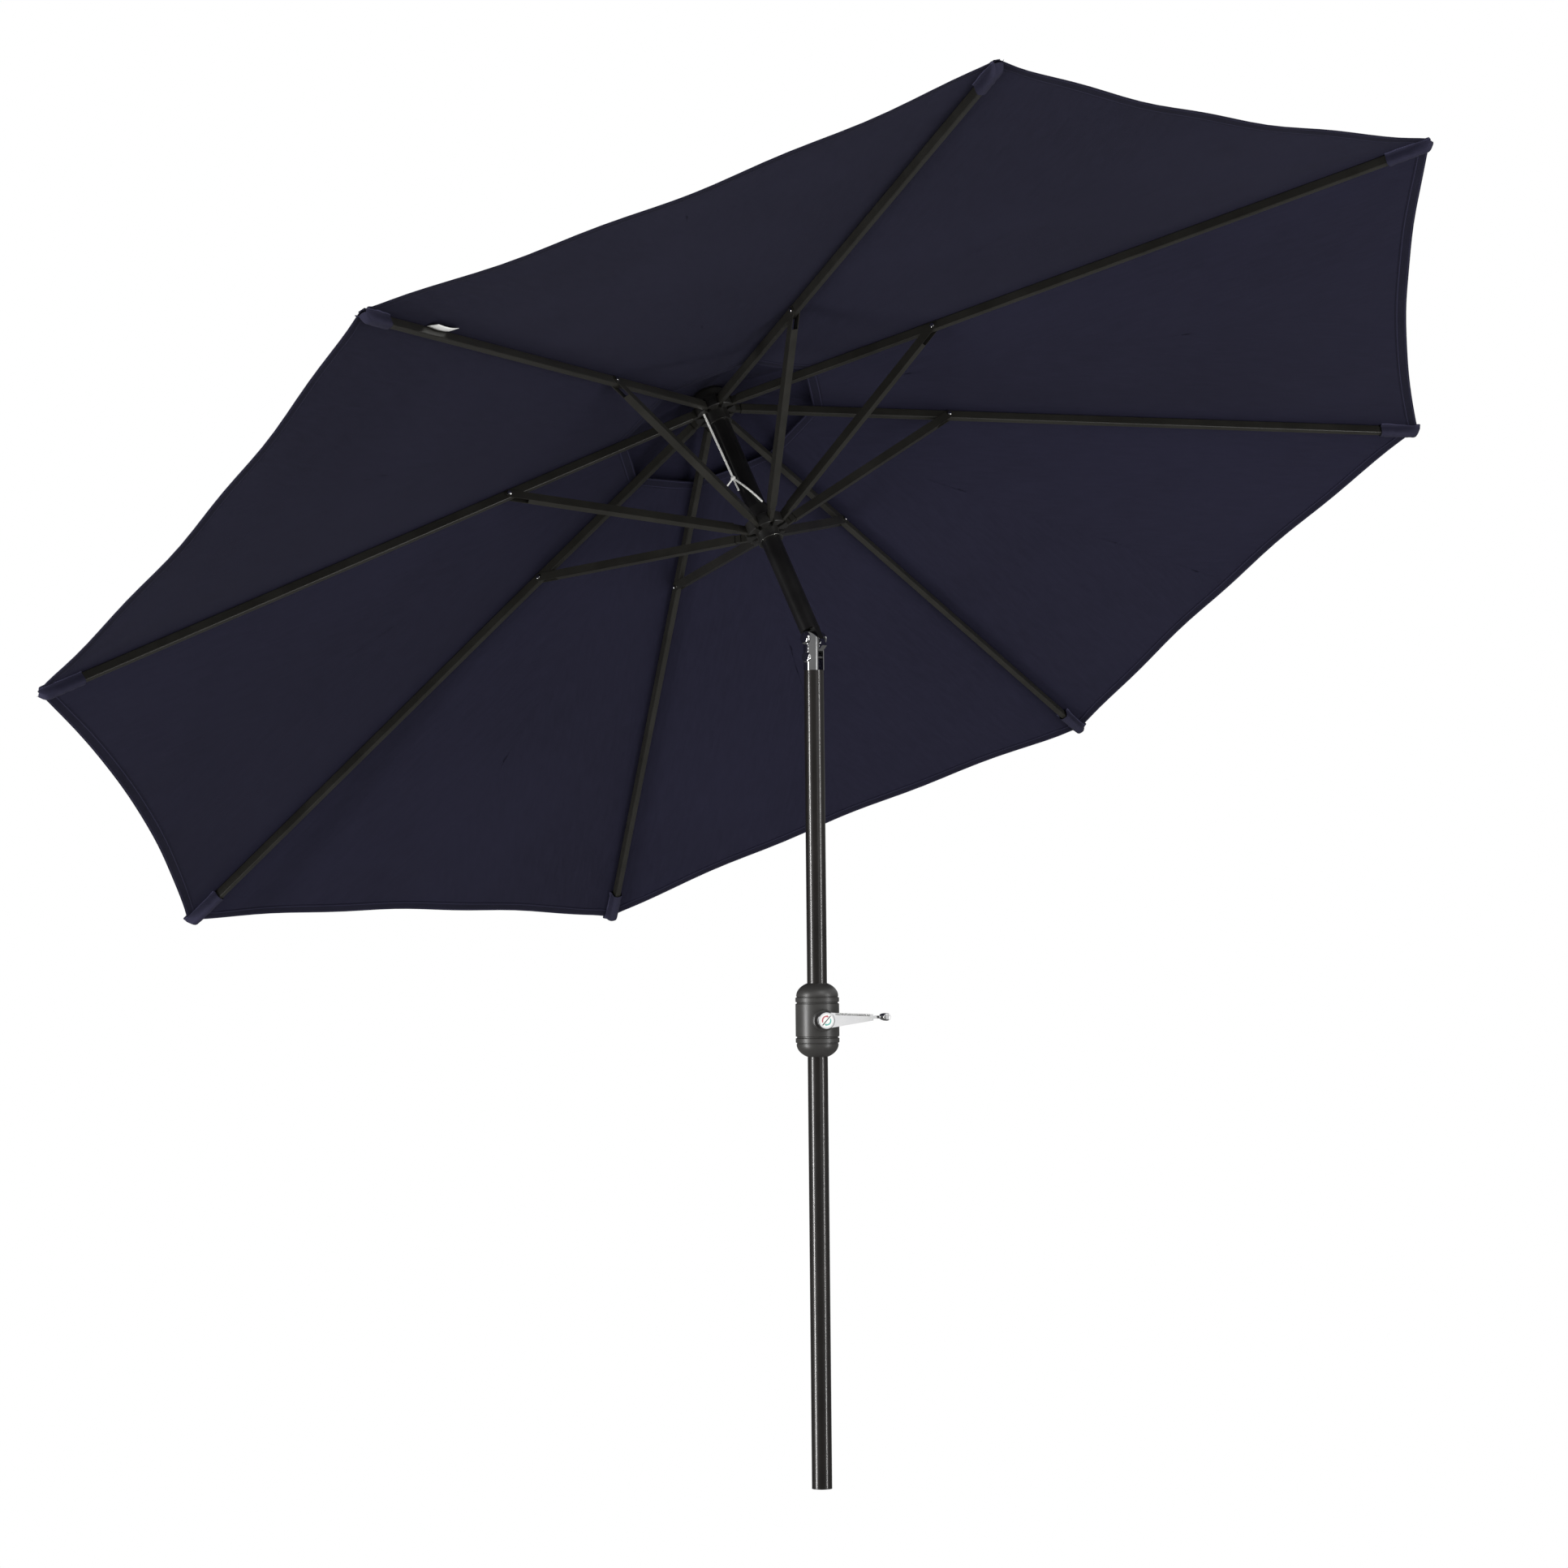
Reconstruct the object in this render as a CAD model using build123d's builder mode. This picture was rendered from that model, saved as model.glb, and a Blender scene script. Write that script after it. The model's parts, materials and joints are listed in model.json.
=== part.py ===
"""Crank-lift, push-button-tilt garden umbrella with eight ribs.

Frame: the origin is the centre of the pole's foot and +Z is up. The mast leans in the XZ plane,
towards +X, about a tilt hinge that lies along Y. Lengths are in millimetres, angles in degrees.
"""
import os
from math import acos, asin, atan2, cos, degrees, radians, sin, sqrt, tan

from build123d import *

os.makedirs("parts", exist_ok=True)

# ---- Driving dimensions -------------------------------------------------------------------
pole_radius = 19.0
pole_wall = 1.5
crank_height = 874.5        # crank axis above the foot
clevis_base = 1531.0        # where the chrome fork meets the pole
pivot_height = 1591.0       # tilt hinge above the foot
lean = 31.0                 # mast's angle from upright
crank_azimuth = 153.0       # direction that the crank axis points, from +X
handle_rise = 2.8           # the crank arm's angle above level

hub_height = 531.0          # rib hinges above the tilt hinge, along the mast
hinge_radius = 34.0         # rib and strut hinges from the mast's axis
rib_drop = 13.5             # rib's angle below square to the mast
rib_count = 8
first_rib = 22.5            # azimuth of rib 1 about the mast
canopy_corner = 1452.0      # rib hinge to the canopy's corner
strut_at = 445.0            # strut pivot along the rib
strut_length = 466.0        # pivot to pivot
rib_width = 11.4
rib_depth = 18.0
rib_wall = 1.1
strut_width = 14.0
strut_depth = 16.0
strut_wall = 1.0

tab_width = 8.0             # hinge tongues of the ribs and struts
hub_pin_radius = 2.0
runner_pin_radius = 1.6
loose_hole_radius = 5.4     # the strut's end is the linkage's open pivot, so its hole is large

hem_rise = 34.0             # how far the hem curves in between two corners
vent_radius = 200.0         # opening round the hub, measured along a rib's line
fabric = 1.2
fabric_gap = 0.6            # fabric above the rib's top face
seam_gap = 0.5              # half the space left between neighbouring panels

cord_radius = 2.0
pulley_azimuth = 84.0
pulley_radius = 11.0        # cord's centre line round the pulley
spool_radius = 7.0

# ---- Derived places -----------------------------------------------------------------------
bore = pole_radius - pole_wall
pivot = Vector(0, 0, pivot_height)
lean_dir = Vector(cos(radians(lean)), 0, -sin(radians(lean)))
mast_dir = Vector(sin(radians(lean)), 0, cos(radians(lean)))
mast = Plane(origin=pivot, x_dir=lean_dir, z_dir=mast_dir)
fork_face = Plane(origin=pivot, x_dir=(1, 0, 0), z_dir=(0, -1, 0))
mast_side = Plane(origin=pivot, x_dir=lean_dir, z_dir=(0, -1, 0))

crank_dir = Vector(cos(radians(crank_azimuth)), sin(radians(crank_azimuth)), 0)
across = Vector(-sin(radians(crank_azimuth)), cos(radians(crank_azimuth)), 0)
arm_dir = across * cos(radians(handle_rise)) + Vector(0, 0, sin(radians(handle_rise)))
crank = Plane(origin=(0, 0, crank_height), x_dir=arm_dir, z_dir=crank_dir)
crank_level = Plane(origin=(0, 0, crank_height), x_dir=across, z_dir=crank_dir)

strut_foot_drop = sqrt(strut_length ** 2 - (strut_at * cos(radians(rib_drop))) ** 2)
runner_height = hub_height - strut_at * sin(radians(rib_drop)) - strut_foot_drop
strut_slope = degrees(asin(strut_foot_drop / strut_length))
rib_top = rib_depth / 2 + fabric_gap
apex_height = hub_height + hinge_radius * tan(radians(rib_drop)) + rib_top / cos(radians(rib_drop))


def save(part, name):
    """Label one finished piece and write it to its own file."""
    part.label = name
    export_step(part, f"parts/{name}.step")


def on_mast(radius, azimuth, height):
    """Point at a radius and azimuth about the mast, at a height above the tilt hinge."""
    angle = radians(azimuth)
    return mast.from_local_coords((radius * cos(angle), radius * sin(angle), height))


def outward(azimuth):
    """Unit vector square to the mast, at an azimuth about it."""
    return on_mast(1, azimuth, 0) - pivot


def rib_azimuth(number):
    return first_rib + 360 / rib_count * (number - 1)


def rib_frame(azimuth):
    """Frame of one rib: origin on its hinge, X along the rib and Z square to its top face."""
    run = outward(azimuth) * cos(radians(rib_drop)) - mast_dir * sin(radians(rib_drop))
    rise = outward(azimuth) * sin(radians(rib_drop)) + mast_dir * cos(radians(rib_drop))
    return Plane(origin=on_mast(hinge_radius, azimuth, hub_height), x_dir=run, z_dir=rise)


def strut_frame(azimuth):
    """Frame of one strut: origin on its rib pivot, X down to the runner and Z up."""
    start = rib_frame(azimuth).from_local_coords((strut_at, 0, 0))
    run = -outward(azimuth) * cos(radians(strut_slope)) - mast_dir * sin(radians(strut_slope))
    rise = -outward(azimuth) * sin(radians(strut_slope)) + mast_dir * cos(radians(strut_slope))
    return Plane(origin=start, x_dir=run, z_dir=rise)


def upright_face(frame, y=0.0):
    """Plane of the frame's X and Z, moved along the frame's Y, with its normal along -Y."""
    return Plane(origin=frame.from_local_coords((0, y, 0)), x_dir=frame.x_dir, z_dir=-frame.y_dir)


def spring(base, radius, wire, length, turns):
    """Open coil spring standing on a plane."""
    path = Helix(pitch=length / turns, height=length, radius=radius)
    path = base.location * path
    with BuildPart() as coil:
        with BuildSketch(Plane(origin=path @ 0, z_dir=path % 0)):
            Circle(wire)
        sweep(path=path, is_frenet=True)
    return coil


# ---- Pole ---------------------------------------------------------------------------------
pole_split = 842.0          # the two pole lengths meet inside the crank housing
insert_end = 804.5          # full-size length that goes into a base
spigot_radius = 18.75       # from there up, so that the housing stops a base's tube
foot_cap_flange = 2.0
foot_cap_plug = 14.0
sleeve_reach = 56.0
sleeve_top = 8.0
clevis_plug = 32.0
shaft_hole = 7.0             # in the pole, round the crank's bush

with BuildPart() as foot_cap:
    Cylinder(pole_radius, foot_cap_flange, align=(Align.CENTER, Align.CENTER, Align.MIN))
    with BuildSketch(Plane.XY.offset(foot_cap_flange)):
        Circle(bore)
        Circle(bore - 2.5, mode=Mode.SUBTRACT)
    extrude(amount=foot_cap_plug)
    chamfer(foot_cap.faces().sort_by(Axis.Z)[-1].outer_wire().edges(), 0.8)
save(foot_cap.part, "pole_foot_cap")

with BuildPart() as lower_pole:
    with BuildSketch(Plane.XY.offset(foot_cap_flange)):
        Circle(pole_radius)
    extrude(amount=insert_end - foot_cap_flange)
    with BuildSketch(Plane.XY.offset(insert_end)):
        Circle(spigot_radius)
    extrude(amount=pole_split - insert_end)
    with BuildSketch(Plane.XY.offset(foot_cap_flange)):
        Circle(bore)
    extrude(amount=pole_split, mode=Mode.SUBTRACT)
save(lower_pole.part, "lower_pole")

with BuildPart() as sleeve:
    with BuildSketch(Plane.XY.offset(pole_split - sleeve_reach)):
        Circle(bore)
        Circle(bore - 1.5, mode=Mode.SUBTRACT)
    extrude(amount=sleeve_reach + sleeve_top)
save(sleeve.part, "pole_joint_sleeve")

with BuildPart() as middle_pole:
    with BuildSketch(Plane.XY.offset(pole_split)):
        Circle(spigot_radius)
        Circle(bore, mode=Mode.SUBTRACT)
    extrude(amount=clevis_base - pole_split)
    with BuildSketch(crank_level):
        Circle(shaft_hole)
    extrude(amount=2 * pole_radius, both=True, mode=Mode.SUBTRACT)
save(middle_pole.part, "middle_pole")

# ---- Crank housing ------------------------------------------------------------------------
housing_radius = 41.0
dome_radius = 39.5
groove_radius = 38.6
half_housing = 69.0         # heights below are from the crank axis
dome_base = 45.0
band_top = 42.5
band_base = 33.5
body_top = 31.0
cavity_radius = 35.8
cavity_top = 58.0
cavity_neck = 24.0
screw_side = 27.0
screw_rise = 22.0
screw_radius = 1.5
screw_head = 3.0
screw_seat = 14.0           # behind the pole's axis, along the crank axis
screw_tip = 14.0
boss_radius = 4.6
escutcheon_radius = 20.5
escutcheon_top = 46.0
bush_radius = 6.5
collar = spigot_radius + 0.05
dome_turn = degrees(acos(collar / dome_radius))    # arc of the dome, up to the pole
housing_side = Plane(origin=(0, 0, crank_height), x_dir=(1, 0, 0), z_dir=(0, -1, 0))

with BuildPart() as housing:
    with BuildSketch(housing_side):
        with BuildLine():
            dome = EllipticalCenterArc((0, dome_base), dome_radius,
                                       (half_housing - dome_base) / sin(radians(dome_turn)),
                                       start_angle=0, arc_size=dome_turn)
            Polyline(dome @ 0, (groove_radius, dome_base - 0.8), (groove_radius, band_top + 0.5),
                     (housing_radius, band_top - 0.8), (housing_radius, band_base + 0.8),
                     (groove_radius, band_base - 0.4), (groove_radius, body_top + 0.4),
                     (housing_radius, body_top - 0.8), (housing_radius, 0), (collar, 0), dome @ 1)
        make_face()
    revolve(axis=Axis.Z)
    mirror(about=Plane.XY.offset(crank_height))
    with BuildSketch(housing_side):
        with BuildLine():
            Polyline((0, 0), (cavity_radius, 0), (cavity_radius, dome_base - 2),
                     (cavity_neck, cavity_top), (0, cavity_top), close=True)
        make_face()
        mirror(about=Plane.XZ)
    revolve(axis=Axis.Z, mode=Mode.SUBTRACT)
housing_body = housing.part

with BuildPart() as bosses:
    with BuildSketch(crank_level.offset(-cavity_radius)):
        with GridLocations(2 * screw_side, 2 * screw_rise, 2, 2):
            Circle(boss_radius)
    extrude(amount=2 * cavity_radius)
    with BuildSketch(Plane.XY.offset(crank_height - half_housing)):
        Circle(cavity_radius + 1)
    extrude(amount=2 * half_housing, mode=Mode.INTERSECT)

for front in (True, False):
    with BuildPart() as shell:
        add(housing_body)
        add(bosses.part)
        if front:
            with BuildSketch(crank_level.offset(cavity_radius - 6)):
                Circle(escutcheon_radius)
            extrude(amount=escutcheon_top - cavity_radius + 6)
            chamfer(shell.edges().group_by(Axis(crank.origin, crank_dir))[-1], 1.6)
            with BuildSketch(crank_level.offset(pole_radius)):
                Circle(bush_radius)
            extrude(amount=escutcheon_top, mode=Mode.SUBTRACT)
            with BuildSketch(crank_level):
                with GridLocations(2 * screw_side, 2 * screw_rise, 2, 2):
                    Circle(screw_radius)
            extrude(amount=screw_tip, mode=Mode.SUBTRACT)
        else:
            with BuildSketch(crank_level):
                with GridLocations(2 * screw_side, 2 * screw_rise, 2, 2):
                    Circle(screw_radius + 0.1)
            extrude(amount=-2 * housing_radius, mode=Mode.SUBTRACT)
            with BuildSketch(crank_level.offset(-screw_seat)):
                with GridLocations(2 * screw_side, 2 * screw_rise, 2, 2):
                    Circle(screw_head + 0.4)
            extrude(amount=-2 * housing_radius, mode=Mode.SUBTRACT)
        split(bisect_by=crank_level, keep=Keep.TOP if front else Keep.BOTTOM)
    save(shell.part, "crank_housing_front" if front else "crank_housing_rear")

with BuildPart() as screws:
    with BuildSketch(crank_level.offset(-screw_seat)):
        with GridLocations(2 * screw_side, 2 * screw_rise, 2, 2):
            Circle(screw_radius)
    extrude(amount=screw_seat + screw_tip)
    with BuildSketch(crank_level.offset(-screw_seat)):
        with GridLocations(2 * screw_side, 2 * screw_rise, 2, 2):
            Circle(screw_head)
    extrude(amount=-2.4)
    with BuildSketch(crank_level.offset(-screw_seat - 2.4)):
        with GridLocations(2 * screw_side, 2 * screw_rise, 2, 2):
            Rectangle(4.4, 0.9)
            Rectangle(0.9, 4.4)
    extrude(amount=1.2, mode=Mode.SUBTRACT)
save(screws.part, "housing_screws")

# ---- Crank: shaft with spool, handle, badge and knob ---------------------------------------
shaft_radius = 4.0
shaft_back = 28.0
hub_base = 47.0             # distances along the crank axis
hub_top = 62.0
hub_radius = 16.5
spool_half = 10.0
spool_flange = 12.0
arm_reach = 112.0           # crank axis to knob axis
arm_root = 15.0             # half widths of the tapered arm
arm_tip = 5.8
arm_end = 92.0
arm_base = 50.0
arm_top = 59.0
eye_radius = 6.2
knob_axle = 2.6
knob_radius = 7.2
knob_length = 22.0
badge_radius = 12.8
badge_depth = 1.2
shaft_socket = 4.0          # solid end of the handle's hub, over the shaft

with BuildPart() as bushes:
    with BuildSketch(crank_level.offset(pole_radius + 0.2)):
        Circle(bush_radius)
        Circle(shaft_radius + 0.05, mode=Mode.SUBTRACT)
    extrude(amount=escutcheon_top - pole_radius - 0.4)
save(bushes.part, "crank_bush")

with BuildPart() as crank_shaft:
    with BuildSketch(crank_level.offset(-shaft_back)):
        Circle(shaft_radius)
    extrude(amount=shaft_back + hub_top - shaft_socket)
    with BuildSketch(crank_level.offset(-spool_half)):
        Circle(spool_radius)
    extrude(amount=2 * spool_half)
    for end in (-spool_half, spool_half - 1.5):
        with BuildSketch(crank_level.offset(end)):
            Circle(spool_flange)
        extrude(amount=1.5)
save(crank_shaft.part, "crank_shaft")

with BuildPart(crank.offset(hub_base)) as handle:
    Cylinder(hub_radius, hub_top - hub_base, align=(Align.CENTER, Align.CENTER, Align.MIN))
    with BuildSketch(crank.offset(arm_base)):
        with BuildLine():
            Polyline((0, arm_root), (arm_end, arm_tip), (arm_end, -arm_tip), (0, -arm_root), close=True)
        make_face()
        with Locations((arm_reach, 0)):
            Circle(eye_radius)
        with Locations((arm_end, 0)):
            Rectangle(arm_reach - arm_end, 5.2, align=(Align.MIN, Align.CENTER))
    extrude(amount=arm_top - arm_base)
    rim = handle.edges().group_by(Axis(crank.origin, crank_dir))[-1]
    chamfer(rim, 1.4)
    with BuildSketch(crank.offset(hub_base)):
        Circle(shaft_radius)
    extrude(amount=hub_top - hub_base - shaft_socket, mode=Mode.SUBTRACT)
    with BuildSketch(crank.offset(hub_top - badge_depth)):
        Circle(badge_radius)
    extrude(amount=badge_depth, mode=Mode.SUBTRACT)
    with BuildSketch(crank.offset(arm_top - 1)):
        with Locations((arm_reach, 0)):
            Circle(knob_axle)
    extrude(amount=knob_length + 4)
    with BuildSketch(crank.offset(arm_top + knob_length + 1.4)):
        with Locations((arm_reach, 0)):
            Circle(knob_axle + 1.6)
    extrude(amount=1.6)
save(handle.part, "crank_handle")

with BuildPart() as badge:
    with BuildSketch(crank.offset(hub_top - badge_depth)):
        Circle(badge_radius - 0.05)
    extrude(amount=badge_depth - 0.2)
save(badge.part, "crank_badge")

knob_base = arm_top + 0.6
knob_place = Plane(origin=crank.from_local_coords((arm_reach, 0, knob_base)), x_dir=arm_dir, z_dir=crank_dir)
with BuildPart(knob_place) as knob:
    Cylinder(knob_radius, knob_length, align=(Align.CENTER, Align.CENTER, Align.MIN))
    fillet(knob.edges().filter_by(GeomType.CIRCLE), 2.4)
    with BuildSketch(knob_place):
        Circle(knob_axle + 0.08)
    extrude(amount=knob_length, mode=Mode.SUBTRACT)
save(knob.part, "crank_knob")

# ---- Tilt joint: fork, hinge pin, tongue, ratchet and push button ---------------------------
fork_radius = 19.9
slot_half = 6.4
tongue_half = 6.0
fork_crown = 20.0           # radius of the fork's rounded top
fork_centre = -7.0          # heights below are from the tilt hinge
pin_radius = 5.0
pin_head = 11.6
mast_base = 16.0
button_drop = 35.5
button_radius = 10.0
button_bore = 10.3
button_floor = 9.6
button_face = 22.4
button_stem = 4.0
rim_radius = 31.0
heel = 28.0
ratchet_line = 13.0
notch = 1.4
tongue_shoulder = 3.0
tongue_plug = 44.0
clevis_height = clevis_base - pivot_height
button_face_plane = Plane(origin=pivot - Vector(0, 0, button_drop), x_dir=(1, 0, 0), z_dir=(0, 1, 0))

with BuildPart() as clevis:
    with BuildSketch(Plane.XY.offset(clevis_base)):
        Circle(fork_radius)
    extrude(amount=fork_centre + fork_crown - clevis_height)
    with BuildSketch(fork_face):
        with Locations((0, fork_centre)):
            Circle(fork_crown)
        with Locations((0, fork_centre)):
            Rectangle(2 * fork_crown, fork_centre - clevis_height, align=(Align.CENTER, Align.MAX))
    extrude(amount=fork_crown, both=True, mode=Mode.INTERSECT)
    with BuildSketch(Plane.XY.offset(clevis_base - clevis_plug)):
        Circle(bore)
    extrude(amount=clevis_plug)
    with BuildSketch(Plane.XY.offset(clevis_base - clevis_plug)):
        Circle(bore - 5)
    extrude(amount=clevis_plug, mode=Mode.SUBTRACT)
    with BuildSketch(Plane.YZ.offset(-fork_crown)):
        with Locations((0, clevis_base)):
            Rectangle(2 * slot_half, 2 * fork_crown - clevis_height, align=(Align.CENTER, Align.MIN))
    extrude(amount=2 * fork_crown, mode=Mode.SUBTRACT)
    with BuildSketch(fork_face):
        Circle(pin_radius)
    extrude(amount=fork_crown, both=True, mode=Mode.SUBTRACT)
    with BuildSketch(button_face_plane.offset(button_floor)):
        Circle(button_bore)
    extrude(amount=fork_crown, mode=Mode.SUBTRACT)
    with BuildSketch(button_face_plane.offset(-14)):
        Circle(button_stem + 0.1)
    extrude(amount=2 * fork_crown, mode=Mode.SUBTRACT)
save(clevis.part, "tilt_clevis")

with BuildPart() as tilt_pin:
    with BuildSketch(fork_face):
        Circle(pin_radius)
    extrude(amount=fork_radius, both=True)
    for side in (-1, 1):
        with BuildSketch(fork_face.offset(side * fork_radius)):
            Circle(pin_head)
        extrude(amount=side * 5.6)
    fillet(tilt_pin.edges().filter_by(GeomType.CIRCLE).group_by(Axis.Y)[0], 3.6)
    fillet(tilt_pin.edges().filter_by(GeomType.CIRCLE).group_by(Axis.Y)[-1], 3.6)
save(tilt_pin.part, "tilt_pin")

with BuildPart() as button:
    with BuildSketch(button_face_plane.offset(button_floor + 6.4)):
        Circle(button_radius)
    extrude(amount=button_face - button_floor - 6.4)
    fillet(button.edges().group_by(Axis.Y)[-1], 1.8)
    with BuildSketch(button_face_plane.offset(-9)):
        Circle(button_stem)
    extrude(amount=button_floor + 9 + 6.4)
save(button.part, "tilt_button")

with BuildPart() as tongue_plate:
    with BuildSketch(mast_side):
        with BuildLine():
            start = (-18.6, mast_base)
            back = (-18.6, -heel)
            rim_from = (-4.0, -sqrt(rim_radius ** 2 - 16.0))
            rim_to = (rim_radius * sin(radians(38)), -rim_radius * cos(radians(38)))
            Polyline(rim_from, back, start, (13.0, mast_base), (rim_to[0], -8.0), rim_to)
            RadiusArc(rim_from, rim_to, rim_radius)
        make_face()
        with Locations(*[(rim_radius * sin(radians(a)), -rim_radius * cos(radians(a)))
                         for a in (0, lean / 2, lean)]):
            Circle(notch, mode=Mode.SUBTRACT)
        Circle(pin_radius + 0.03, mode=Mode.SUBTRACT)
    extrude(amount=tongue_half, both=True)
cut_plane = mast.offset(-ratchet_line)
with BuildPart() as ratchet:
    add(tongue_plate.part)
    split(bisect_by=cut_plane, keep=Keep.BOTTOM)
save(ratchet.part, "tilt_ratchet")

with BuildPart() as tongue:
    add(tongue_plate.part)
    split(bisect_by=cut_plane, keep=Keep.TOP)
    with BuildSketch(mast.offset(mast_base)):
        Circle(pole_radius)
    extrude(amount=tongue_shoulder)
    with BuildSketch(mast.offset(mast_base + tongue_shoulder)):
        Circle(bore)
    extrude(amount=tongue_plug)
    with BuildSketch(mast.offset(mast_base)):
        Circle(bore - 6)
    extrude(amount=60, mode=Mode.SUBTRACT)
save(tongue.part, "tilt_tongue")

# ---- Mast: tube, hub, pulley, caps, finial --------------------------------------------------
tube_base = mast_base + tongue_shoulder
tube_top = 566.0
ring_radius = 41.0
ring_top = 14.0             # heights from the rib hinges
ring_base = -10.0
hub_sleeve_radius = 23.5
hub_sleeve = -32.0
slot_gap = 0.5
pulley_height = 19.0
pulley_centre = 19.0
pulley_half = 3.5
pulley_axle_radius = 2.0
house_radius = 34.5
house_top = 31.0

pulley_axis = outward(pulley_azimuth).cross(mast_dir)
pulley_slot = Plane(origin=on_mast(0, 0, hub_height + pulley_height), x_dir=outward(pulley_azimuth),
                    z_dir=pulley_axis)
pulley_place = Plane(origin=pulley_slot.from_local_coords((pulley_centre, 0, 0)), x_dir=mast_dir,
                     z_dir=pulley_axis)
with BuildPart(pulley_place) as pulley_axle:
    Cylinder(pulley_axle_radius, 2 * pulley_half + 8)
save(pulley_axle.part, "pulley_axle")

with BuildPart() as mast_tube:
    with BuildSketch(mast.offset(tube_base)):
        Circle(pole_radius)
        Circle(bore, mode=Mode.SUBTRACT)
    extrude(amount=tube_top - tube_base)
    with BuildSketch(pulley_slot):
        with Locations((pulley_centre, 0)):
            Rectangle(28, 28)
    extrude(amount=pulley_half + 0.9, both=True, mode=Mode.SUBTRACT)
    add(pulley_axle.part, mode=Mode.SUBTRACT)
save(mast_tube.part, "upper_mast")


def slotted_ring(low, high, centre, slot_inner, half_slot):
    """Ring round the mast with a hinge slot at each rib's azimuth."""
    with BuildPart() as ring:
        with BuildSketch(mast.offset(centre + low)):
            Circle(ring_radius)
            Circle(pole_radius + 0.9, mode=Mode.SUBTRACT)
        extrude(amount=high - low)
        chamfer(ring.edges().filter_by(GeomType.CIRCLE).sort_by(Edge.length)[-2:], 1.2)
        with BuildSketch(mast.offset(centre + low)):
            with PolarLocations(0, rib_count, start_angle=first_rib):
                with Locations((slot_inner, 0)):
                    Rectangle(ring_radius, 2 * half_slot, align=(Align.MIN, Align.CENTER))
        extrude(amount=high - low, mode=Mode.SUBTRACT)
    return ring.part


def pin_ring(height, radius, half_length):
    """Short hinge pins, one across each slot of a ring."""
    with BuildPart() as pins:
        for number in range(1, rib_count + 1):
            azimuth = rib_azimuth(number)
            side = outward(azimuth).cross(mast_dir)
            with BuildSketch(Plane(origin=on_mast(hinge_radius, azimuth, height), z_dir=side)):
                Circle(radius)
            extrude(amount=half_length, both=True)
    return pins.part


hub_slot_half = tab_width / 2 + slot_gap
hub_ring = slotted_ring(ring_base, ring_top, hub_height, 24.0, hub_slot_half)
hub_pin_solids = pin_ring(hub_height, hub_pin_radius, hub_slot_half + 1.6)
with BuildPart() as hub:
    add(hub_ring)
    for low, high, outer in ((hub_sleeve, ring_base, hub_sleeve_radius), (ring_top, house_top, house_radius)):
        with BuildSketch(mast.offset(hub_height + low)):
            Circle(outer)
            Circle(pole_radius + 0.9, mode=Mode.SUBTRACT)
        extrude(amount=high - low)
    with BuildSketch(mast.offset(hub_height + hub_sleeve)):
        Circle(pole_radius + 1)
        Circle(pole_radius, mode=Mode.SUBTRACT)
    extrude(amount=house_top - hub_sleeve)
    with BuildSketch(pulley_slot):
        with Locations((pulley_centre, 0)):
            Rectangle(2 * pulley_radius + 8, 2 * pulley_radius + 6)
    extrude(amount=pulley_half + 0.5, both=True, mode=Mode.SUBTRACT)
    with BuildSketch(mast.offset(hub_height + ring_base)):
        with PolarLocations(pulley_centre + pulley_radius, 1, start_angle=pulley_azimuth):
            Circle(cord_radius + 1.2)
    extrude(amount=ring_top - ring_base, mode=Mode.SUBTRACT)
    add(hub_pin_solids, mode=Mode.SUBTRACT)
    add(pulley_axle.part, mode=Mode.SUBTRACT)
save(hub.part, "top_hub")
save(hub_pin_solids, "hub_pins")

with BuildPart(pulley_place) as pulley:
    Cylinder(pulley_radius, 2 * pulley_half)
    with BuildSketch(Plane(origin=pulley_place.origin, x_dir=mast_dir, z_dir=pulley_axis.cross(mast_dir))):
        with Locations((pulley_radius, 0)):
            Circle(cord_radius + 0.15)
    revolve(axis=Axis(pulley_place.origin, pulley_axis), mode=Mode.SUBTRACT)
    Hole(pulley_axle_radius + 0.08)
save(pulley.part, "cord_pulley")

with BuildPart() as mast_cap:
    with BuildSketch(mast.offset(tube_top)):
        Circle(21)
    extrude(amount=2.5)
    with BuildSketch(mast.offset(tube_top - 3.0)):
        Circle(bore)
    extrude(amount=3.0)
    with BuildSketch(mast.offset(tube_top + 2.5)):
        Circle(4)
    extrude(amount=14)
save(mast_cap.part, "mast_cap")

with BuildPart() as finial:
    with BuildSketch(mast_side):
        with BuildLine():
            Polyline((4.1, tube_top + 9.0), (22.0, tube_top + 9.0), (24.0, tube_top + 12.0),
                     (20.0, tube_top + 18.0), (11.0, tube_top + 24.0))
            Spline((11.0, tube_top + 24.0), (18.0, tube_top + 38.0), (9.0, tube_top + 56.0),
                   (0.0, tube_top + 60.0))
            Polyline((0.0, tube_top + 60.0), (0.0, tube_top + 17.0), (4.1, tube_top + 17.0),
                     (4.1, tube_top + 9.0))
        make_face()
    revolve(axis=Axis(pivot, mast_dir))
save(finial.part, "finial")

# ---- Lift cord ------------------------------------------------------------------------------
cord_inner = pulley_centre - pulley_radius
cord_outer = pulley_centre + pulley_radius
knot_height = 371.0
knot_radius = 25.5
knot_size = 4.6
pole_cord_top = clevis_base - clevis_plug - 4.0

with BuildPart() as cord_lower:
    start = Vector(0, 0, crank_height) + across * (spool_radius + cord_radius + 0.1)
    with BuildSketch(Plane(origin=start, z_dir=(0, 0, 1))):
        Circle(cord_radius)
    extrude(amount=pole_cord_top - crank_height)
save(cord_lower.part, "lift_cord_in_pole")

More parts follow.
